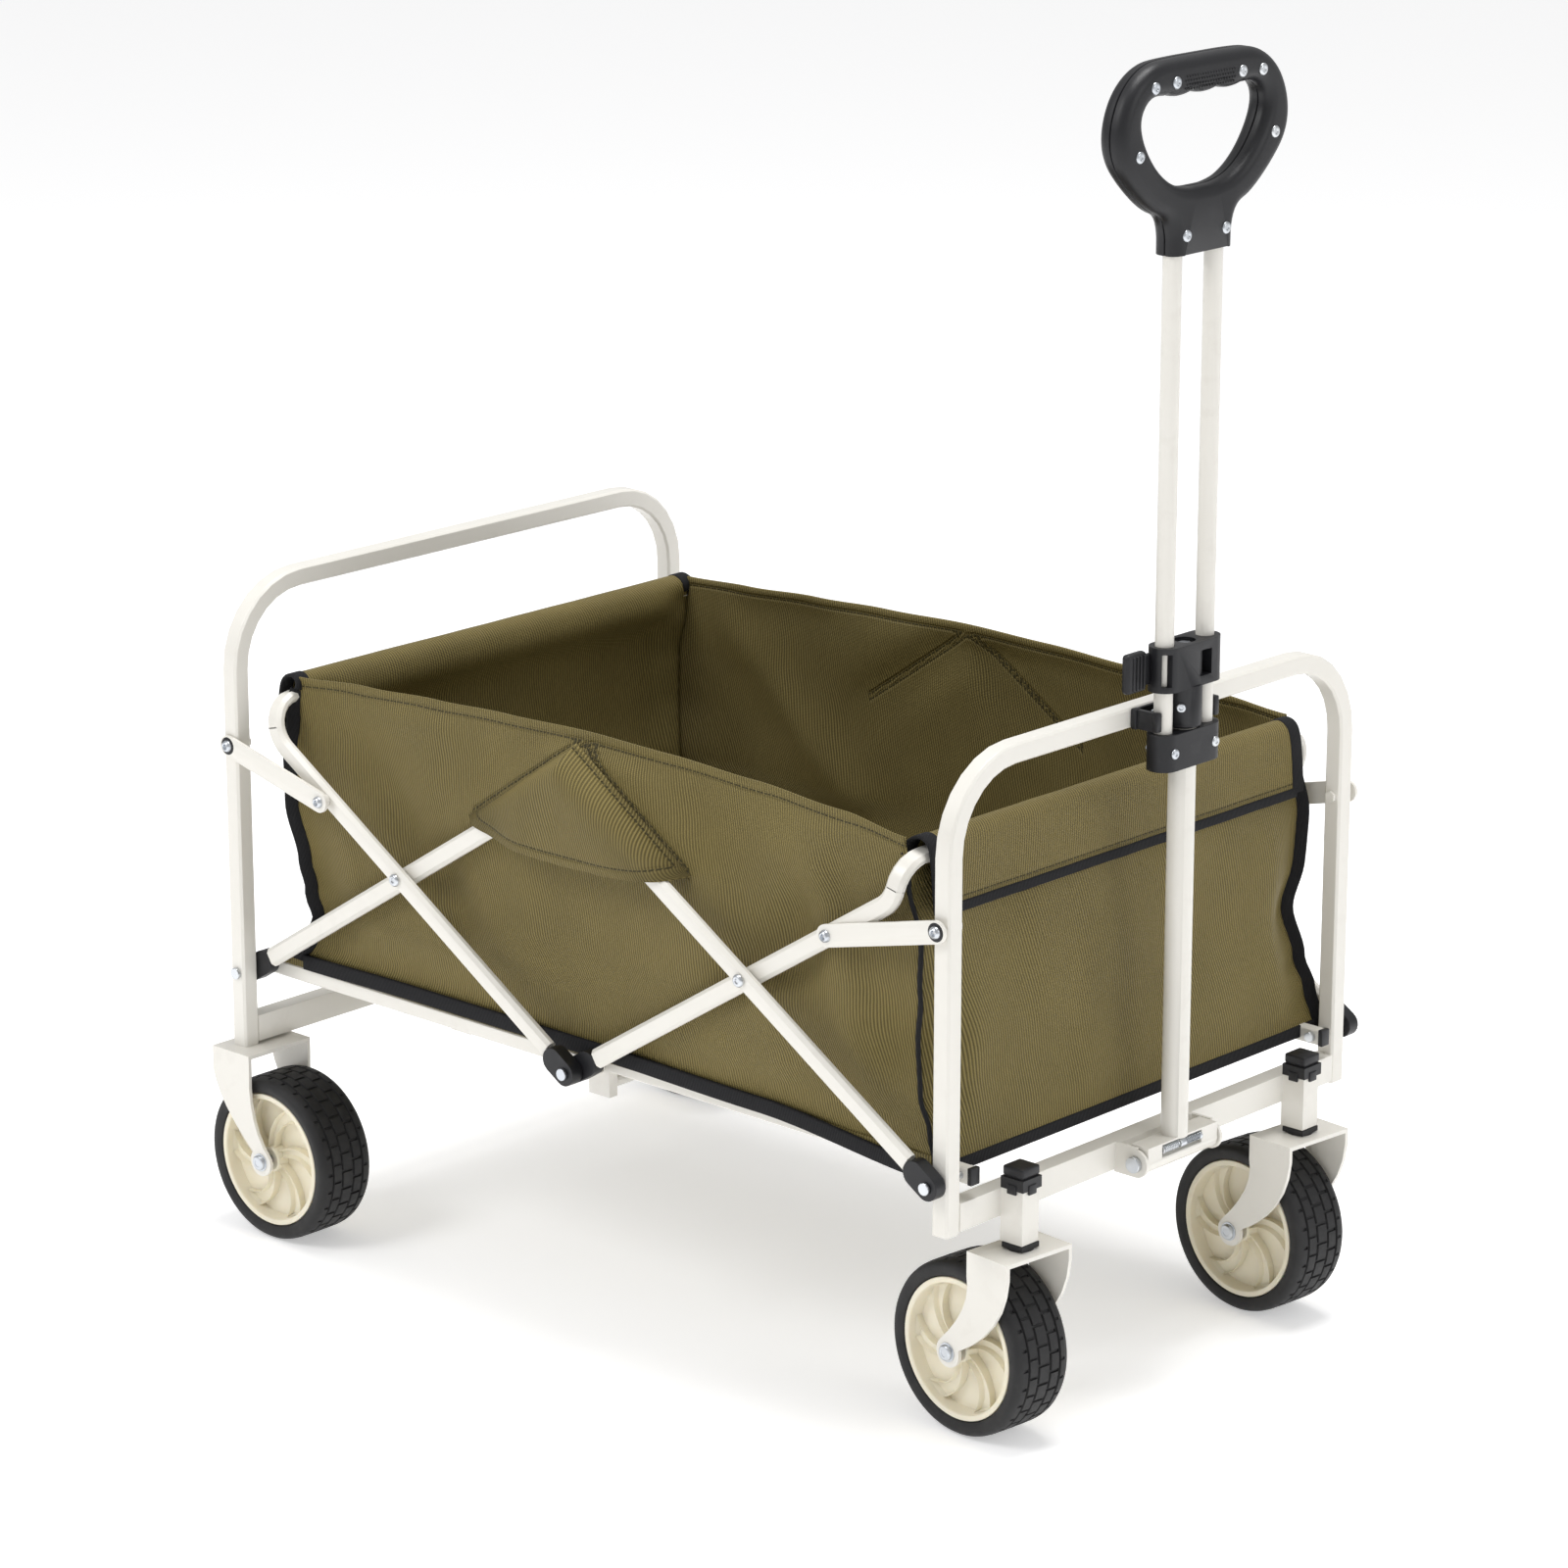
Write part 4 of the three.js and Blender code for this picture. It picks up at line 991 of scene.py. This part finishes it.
# Each link is a flat pressed bar: a black washer and a bolt at the leg, a rivet at the arm.
def makeLinkPins(end, side):
    sign = sides[side]
    low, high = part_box(f"{end}_link_{side}")
    outside = (high[1] if sign > 0 else -low[1]) / mm
    metal, black = bmesh.new(), bmesh.new()
    for (x, z), atLeg in ((pins["linkFoot"], True), (pins["linkTop"], False)):
        x = x if end == "rear" else tub["length"] - x
        foot = outside - 2.0
        addHead(metal, "rivet", spot(x, sign * foot, z), (0, sign, 0), 5.4, 4.2)
        if atLeg:
            addHead(black, "bush", spot(x, sign * (foot - 0.6), z), (0, sign, 0), 8.4, 1.7, 24)
    finishMetal(metal, f"link_rivets_{end}_{side}", f"{end}_links")
    finishBlack(black, f"link_washers_{end}_{side}", f"{end}_links")


grip = {
    "bottom": 958, "top": 1114, "halfWidth": 104, "neck": 36.5, "thick": 13.35, "round": 9.6, "roundSteps": 7,
    "points": 144, "footPoints": 6, "footShare": 0.12,
    "holeReach": 78, "holeTop": 1085, "holeBottom": 1011, "bumpReach": 48, "bumpTurns": 1.5, "bumpDeep": 2.6,
    "rivets": ((67.5, 1094.5), (41.3, 1096), (85, 1043), (24.7, 974)),
    "dotRows": 4, "dotColumns": 19, "dotSpacing": 3.3, "dotHeight": 1094.5,
}


# Half of a closed outline from its top middle to its bottom middle, as evenly spaced points.
def gripHalf(corners, count):
    path = [Vector(c) for c in smoothPath(corners, 4)]
    lengths = [(b - a).length for a, b in zip(path, path[1:])]
    total, places = sum(lengths), []
    for i in range(count + 1):
        reach = total * i / count
        index = 0
        while index < len(lengths) - 1 and reach > lengths[index]:
            reach -= lengths[index]
            index += 1
        places.append(path[index].lerp(path[index + 1], min(1, reach / lengths[index])))
    return places


# One closed ring of the grip: its outline moved into the material and forward from the parting plane.
def gripRing(bm, outline, moved, forward, reach):
    count = len(outline)
    verts = []
    for i, place in enumerate(outline):
        along = (outline[(i + reach) % count] - outline[(i - reach) % count]).normalized()
        y = place.x + along.y * moved
        z = place.y - along.x * moved
        above = z - grip["bottom"]
        if above < grip["round"] + 0.5:       # the neck ends in a square-cut foot
            z = grip["bottom"] + above * grip["footShare"]
            y = max(moved - grip["neck"], min(grip["neck"] - moved, y))
        verts.append(bm.verts.new((handleX + forward * mm, y * mm, z * mm)))
    return verts


# Two rings with the same number of points, joined point by point.
def joinRings(bm, first, second):
    count = len(first)
    for i in range(count):
        j = (i + 1) % count
        bm.faces.new((first[i], first[j], second[j], second[i]))


def makeGripShell(face):
    half = grip["points"] // 2
    wide, top, bottom, neck = grip["halfWidth"], grip["top"], grip["bottom"], grip["neck"]
    foot = grip["footPoints"]
    outer = gripHalf([(0, top), (38, top), (69, top - 1.5), (wide - 9, top - 19), (wide + 4, top - 48),
                      (wide + 1, top - 75), (85, top - 98), (60, top - 118), (neck + 6, bottom + 32),
                      (neck, bottom + 18), (neck, bottom)], half - foot)
    outer += [Vector((neck * (foot - 1 - i) / foot, bottom)) for i in range(foot)]
    reach, holeTop, holeBottom, bumpReach = grip["holeReach"], grip["holeTop"], grip["holeBottom"], grip["bumpReach"]
    inner = gripHalf([(0, holeTop), (40, holeTop), (reach - 12, holeTop + 2), (reach + 2, holeTop - 12),
                      (reach - 2, holeTop - 31), (60, holeTop - 54), (38, holeBottom + 4), (16, holeBottom - 1),
                      (0, holeBottom - 1)], half)
    for place in inner:
        if place.y > holeTop - 3 and place.x < bumpReach:
            wave = cos(place.x / bumpReach * pi * grip["bumpTurns"])
            place.y -= grip["bumpDeep"] * abs(wave) ** 0.8 - 1.2
    bm = bmesh.new()
    rows = [(0.9, 0.15), (0.0, 0.9)]       # (moved in, forward) from the parting line to the rounded face
    for i in range(grip["roundSteps"] + 1):
        angle = i / grip["roundSteps"] * pi / 2
        rows.append((grip["round"] * (1 - cos(angle)), grip["thick"] - grip["round"] * (1 - sin(angle))))
    ends = []
    for line, inward, reachPoints in ((outer, 1, 1), (inner, -1, 3)):
        whole = list(line) + [Vector((-p.x, p.y)) for p in line[-2:0:-1]]
        rings = [gripRing(bm, whole, inward * moved, forward * face, reachPoints) for moved, forward in rows]
        for before, after in zip(rings, rings[1:]):
            joinRings(bm, before, after)
        ends.append((rings[0], rings[-1]))
    for first, second in zip(*ends):
        joinRings(bm, first, second)
    bmesh.ops.recalc_face_normals(bm, faces=bm.faces)
    name = "front" if face > 0 else "back"
    piece = finishBlack(bm, f"grip_{name}_moulding", "handle_slide", 50)
    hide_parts(f"grip_{name}_shell")


def makeGripTrim():
    metal, dots = bmesh.new(), bmesh.new()
    surface = handleX + grip["thick"] * mm
    for y, z in grip["rivets"]:
        for sign in (1, -1):
            addHead(metal, "rivet", (surface - 0.3 * mm, sign * y * mm, z * mm), (1, 0, 0), 5.0, 1.9)
            behind = (2 * handleX - surface + 0.3 * mm, sign * y * mm, z * mm)
            addHead(metal, "socket", behind, (-1, 0, 0), 4.0, 1.2, 16)
    for row in range(grip["dotRows"]):
        for column in range(grip["dotColumns"]):
            y = (column - (grip["dotColumns"] - 1) / 2 + 0.5 * (row % 2)) * grip["dotSpacing"]
            z = grip["dotHeight"] + (row - 1.5) * grip["dotSpacing"]
            addHead(dots, "dome", (surface - 0.15 * mm, y * mm, z * mm), (1, 0, 0), 1.15, 1.1, 6)
    finishMetal(metal, "grip_rivets", "handle_slide")
    finishBlack(dots, "grip_dots", "handle_slide", 60)


clamp = {"collarZ": 553, "clampLow": 604, "clampHigh": 641, "rivetY": 26, "half": 13.5, "ribs": 4}


def makeClampTrim():
    metal = bmesh.new()
    front = handleX + clamp["half"] * mm
    for sign in (1, -1):
        y, z = sign * clamp["rivetY"] * mm, clamp["collarZ"] * mm
        addHead(metal, "rivet", (front - 0.4 * mm, y, z), (1, 0, 0), 4.4, 1.9)
        addHead(metal, "socket", (2 * handleX - front + 0.4 * mm, y, z), (-1, 0, 0), 4.2, 1.6)
    finishMetal(metal, "collar_rivets", "handle_slide")


# The clamp head is cut for its windows and the bolt's recess.
def makeClampHead():
    piece = refine("clamp_head", blackPlastic, "black_plastic", 0.9)
    cutter = bmesh.new()
    middleZ = (clamp["clampLow"] + clamp["clampHigh"]) / 2 * mm
    addBlock(cutter, (handleX + 8.5 * mm, -33.6 * mm, middleZ), (14, 6.4, 27), 0.6)
    addHead(cutter, "bush", (handleX, 0, (clamp["clampHigh"] - 7) * mm), (0, 0, 1), 9.6, 10, 28)
    addBlock(cutter, (handleX + 13.4 * mm, 9.5 * mm, middleZ), (6, 12, 21.5), 1.2)
    mesh = meshFrom("clamp_cutter", cutter)
    tool = addObject("clamp_cutter", mesh)
    cut = piece.modifiers.new("window", "BOOLEAN")
    cut.object = tool
    cut.operation = "DIFFERENCE"
    bpy.context.view_layer.objects.active = piece
    bpy.ops.object.modifier_move_to_index(modifier="window", index=0)
    applyModifier(piece, "window")
    bpy.data.objects.remove(tool)
    bpy.data.meshes.remove(mesh)
    trim = bmesh.new()
    addHex(trim, (handleX, 0, (clamp["clampHigh"] - 6.4) * mm), (0, 0, 1), 6.2, 4.4)
    addHead(trim, "washer", (handleX, 0, (clamp["clampHigh"] - 7) * mm), (0, 0, 1), 8.4, 0.9, 24)
    addHead(trim, "socket", (handleX + 7.8 * mm, -12.4 * mm, 588 * mm), (0.53, -0.85, 0), 3.8, 2.4, 18)
    finishMetal(trim, "clamp_bolt", "handle", 30)
    skirt = bmesh.new()
    addHead(skirt, "bush", (handleX, 0, 573.6 * mm), (0, 0, -1), 15.0, 4.0, 32)
    finishBlack(skirt, "clamp_skirt", "handle")


# The lever is a thumb plate with ribs across it.
def makeLever():
    low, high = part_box("cam_lever")
    x, z = low[0] + 4.8 * mm, (low[2] + high[2]) / 2
    bm = bmesh.new()
    addBlock(bm, (x, -54 * mm, z), (8.4, 24, 33), 3.4, segments=4)
    addBlock(bm, (x, -38 * mm, z), (6.2, 17, 25), 1.6)
    for i in range(clamp["ribs"]):
        addBlock(bm, (x + 3.9 * mm, (-46.5 - 4.3 * i) * mm, z), (3.0, 2.3, 28.5), 1.0)
    piece = finishBlack(bm, "lever_thumb_plate", "cam_lever")
    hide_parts("cam_lever")


# The clip's two spring arms end in hooks, and a block grips the hoop behind them.
def makeClipTrim():
    low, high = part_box("handle_clip")
    bm = bmesh.new()
    middleZ = (low[2] + high[2]) / 2
    for sign in (1, -1):
        y = sign * (high[1] - 1.7 * mm)
        addBlock(bm, (high[0] - 2.2 * mm, y - sign * 1.2 * mm, middleZ), (6.5, 6.2, 16.6), 1.6)
        addBlock(bm, (low[0] + 3.0 * mm, y, middleZ), (6.0, 7.0, 17.4), 1.4)
    metal = bmesh.new()
    for sign in (1, -1):
        addHead(metal, "rivet", (low[0] + 2.9 * mm, sign * 16 * mm, middleZ), (1, 0, 0), 3.4, 1.4)
    finishBlack(bm, "clip_hooks", "front_frame")
    finishMetal(metal, "clip_rivets", "front_frame")


spring = {"turns": 9, "turnSteps": 12, "radius": 2.9, "wire": 0.75, "length": 19, "height": 213.5, "offset": 7.4}


# Two zinc springs lie in the window of the foot, either side of its pin.
def makeFootSprings():
    bm = bmesh.new()
    x, height, radius = handleX + spring["offset"] * mm, spring["height"], spring["radius"]
    steps, wire = spring["turns"] * spring["turnSteps"], 2 * spring["wire"] * mm
    for sign in (1, -1):
        points = []
        for i in range(steps + 1):
            angle = 2 * pi * i / spring["turnSteps"]
            y = sign * (4.5 + spring["length"] * i / steps) - 1
            points.append(Vector((x + radius * cos(angle) * mm, y * mm, (height + radius * sin(angle)) * mm)))
        sweepRing(bm, ovalOutline(wire, wire, 7), pathFrames(points, (0.3, 0.2, 1)))
    for sign in (1, -1):
        addHead(bm, "bush", (x, (sign * 25.4 - 1) * mm, height * mm), (0, -sign, 0), 3.8, 2.2, 18)
    addHead(bm, "washer", (x, 3.5 * mm, height * mm), (0, -1, 0), 3.8, 6.6, 18)
    finishMetal(bm, "foot_springs", "handle")
    # A thin black plate behind the springs is painted shade in the foot's open window.
    bm = bmesh.new()
    addBlock(bm, (handleX + 4.0 * mm, -1 * mm, height * mm), (2.0, 50, 10), 0.4)
    finishBlack(bm, "foot_shadow_plate", "handle")


def makeCasterTrim(side):
    sign = sides[side]
    low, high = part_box(f"caster_liner_{side}")
    x, y = middle(f"caster_liner_{side}")[:2]
    capTop = high[2]
    bm = bmesh.new()
    addBlock(bm, Vector((x, y, capTop - 3.2 * mm)), (21.5, 21.5, 8.2), 1.6, segments=3)
    for dx, dy in ((1, 0), (-1, 0), (0, 1), (0, -1)):
        addBlock(bm, Vector((x + dx * 11.6 * mm, y + dy * 11.6 * mm, capTop - 17.5 * mm)),
                 (2.2 if dx else 9.5, 2.2 if dy else 9.5, 8.5), 0.8)
    addHead(bm, "bush", (x, y, low[2] - 1.2 * mm), (0, 0, 1), 11.2, 2.6, 28)
    finishBlack(bm, f"caster_cap_trim_{side}", "front_frame")
    ahead, out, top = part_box("front_rail_frame")[1]
    plug = bmesh.new()
    addBlock(plug, (ahead + 0.4 * mm, sign * (out - 5.0 * mm), top - 7.0 * mm), (4.6, 10.8, 14.8), 1.0)
    finishBlack(plug, f"rail_plug_{side}", "front_rails")


def makeAxleTrim(end, side):
    centre = Vector(middle(f"{end}_axle_bolt_{side}"))
    turn = casterTurn if end == "front" else 0
    body = f"caster_{side}" if end == "front" else "rear_frame"
    metal, black = bmesh.new(), bmesh.new()
    for sign in (1, -1):
        axis = Vector((-sin(turn) * sign, cos(turn) * sign, 0))
        face = centre + axis * 37.2 * mm
        addHead(metal, "washer", face - axis * 0.2 * mm, axis, 8.2, 1.0, 24)
        addHead(metal, "socket", face + axis * 0.6 * mm, axis, 6.9, 3.2, 24)
        addHead(black, "bush", centre + axis * 33.2 * mm, -axis, 10.5, 2.6, 24)
    finishMetal(metal, f"axle_head_{end}_{side}", body)
    finishBlack(black, f"axle_washer_{end}_{side}", body)


for side in sides:
    makeArmPins(side)
    makeCasterTrim(side)
    for end in ("rear", "front"):
        makeLinkPins(end, side)
        makeAxleTrim(end, side)
for face in (1, -1):
    makeGripShell(face)
makeGripTrim()
makeClampTrim()
makeClampHead()
makeLever()
makeClipTrim()
makeFootSprings()
print("fittings made")
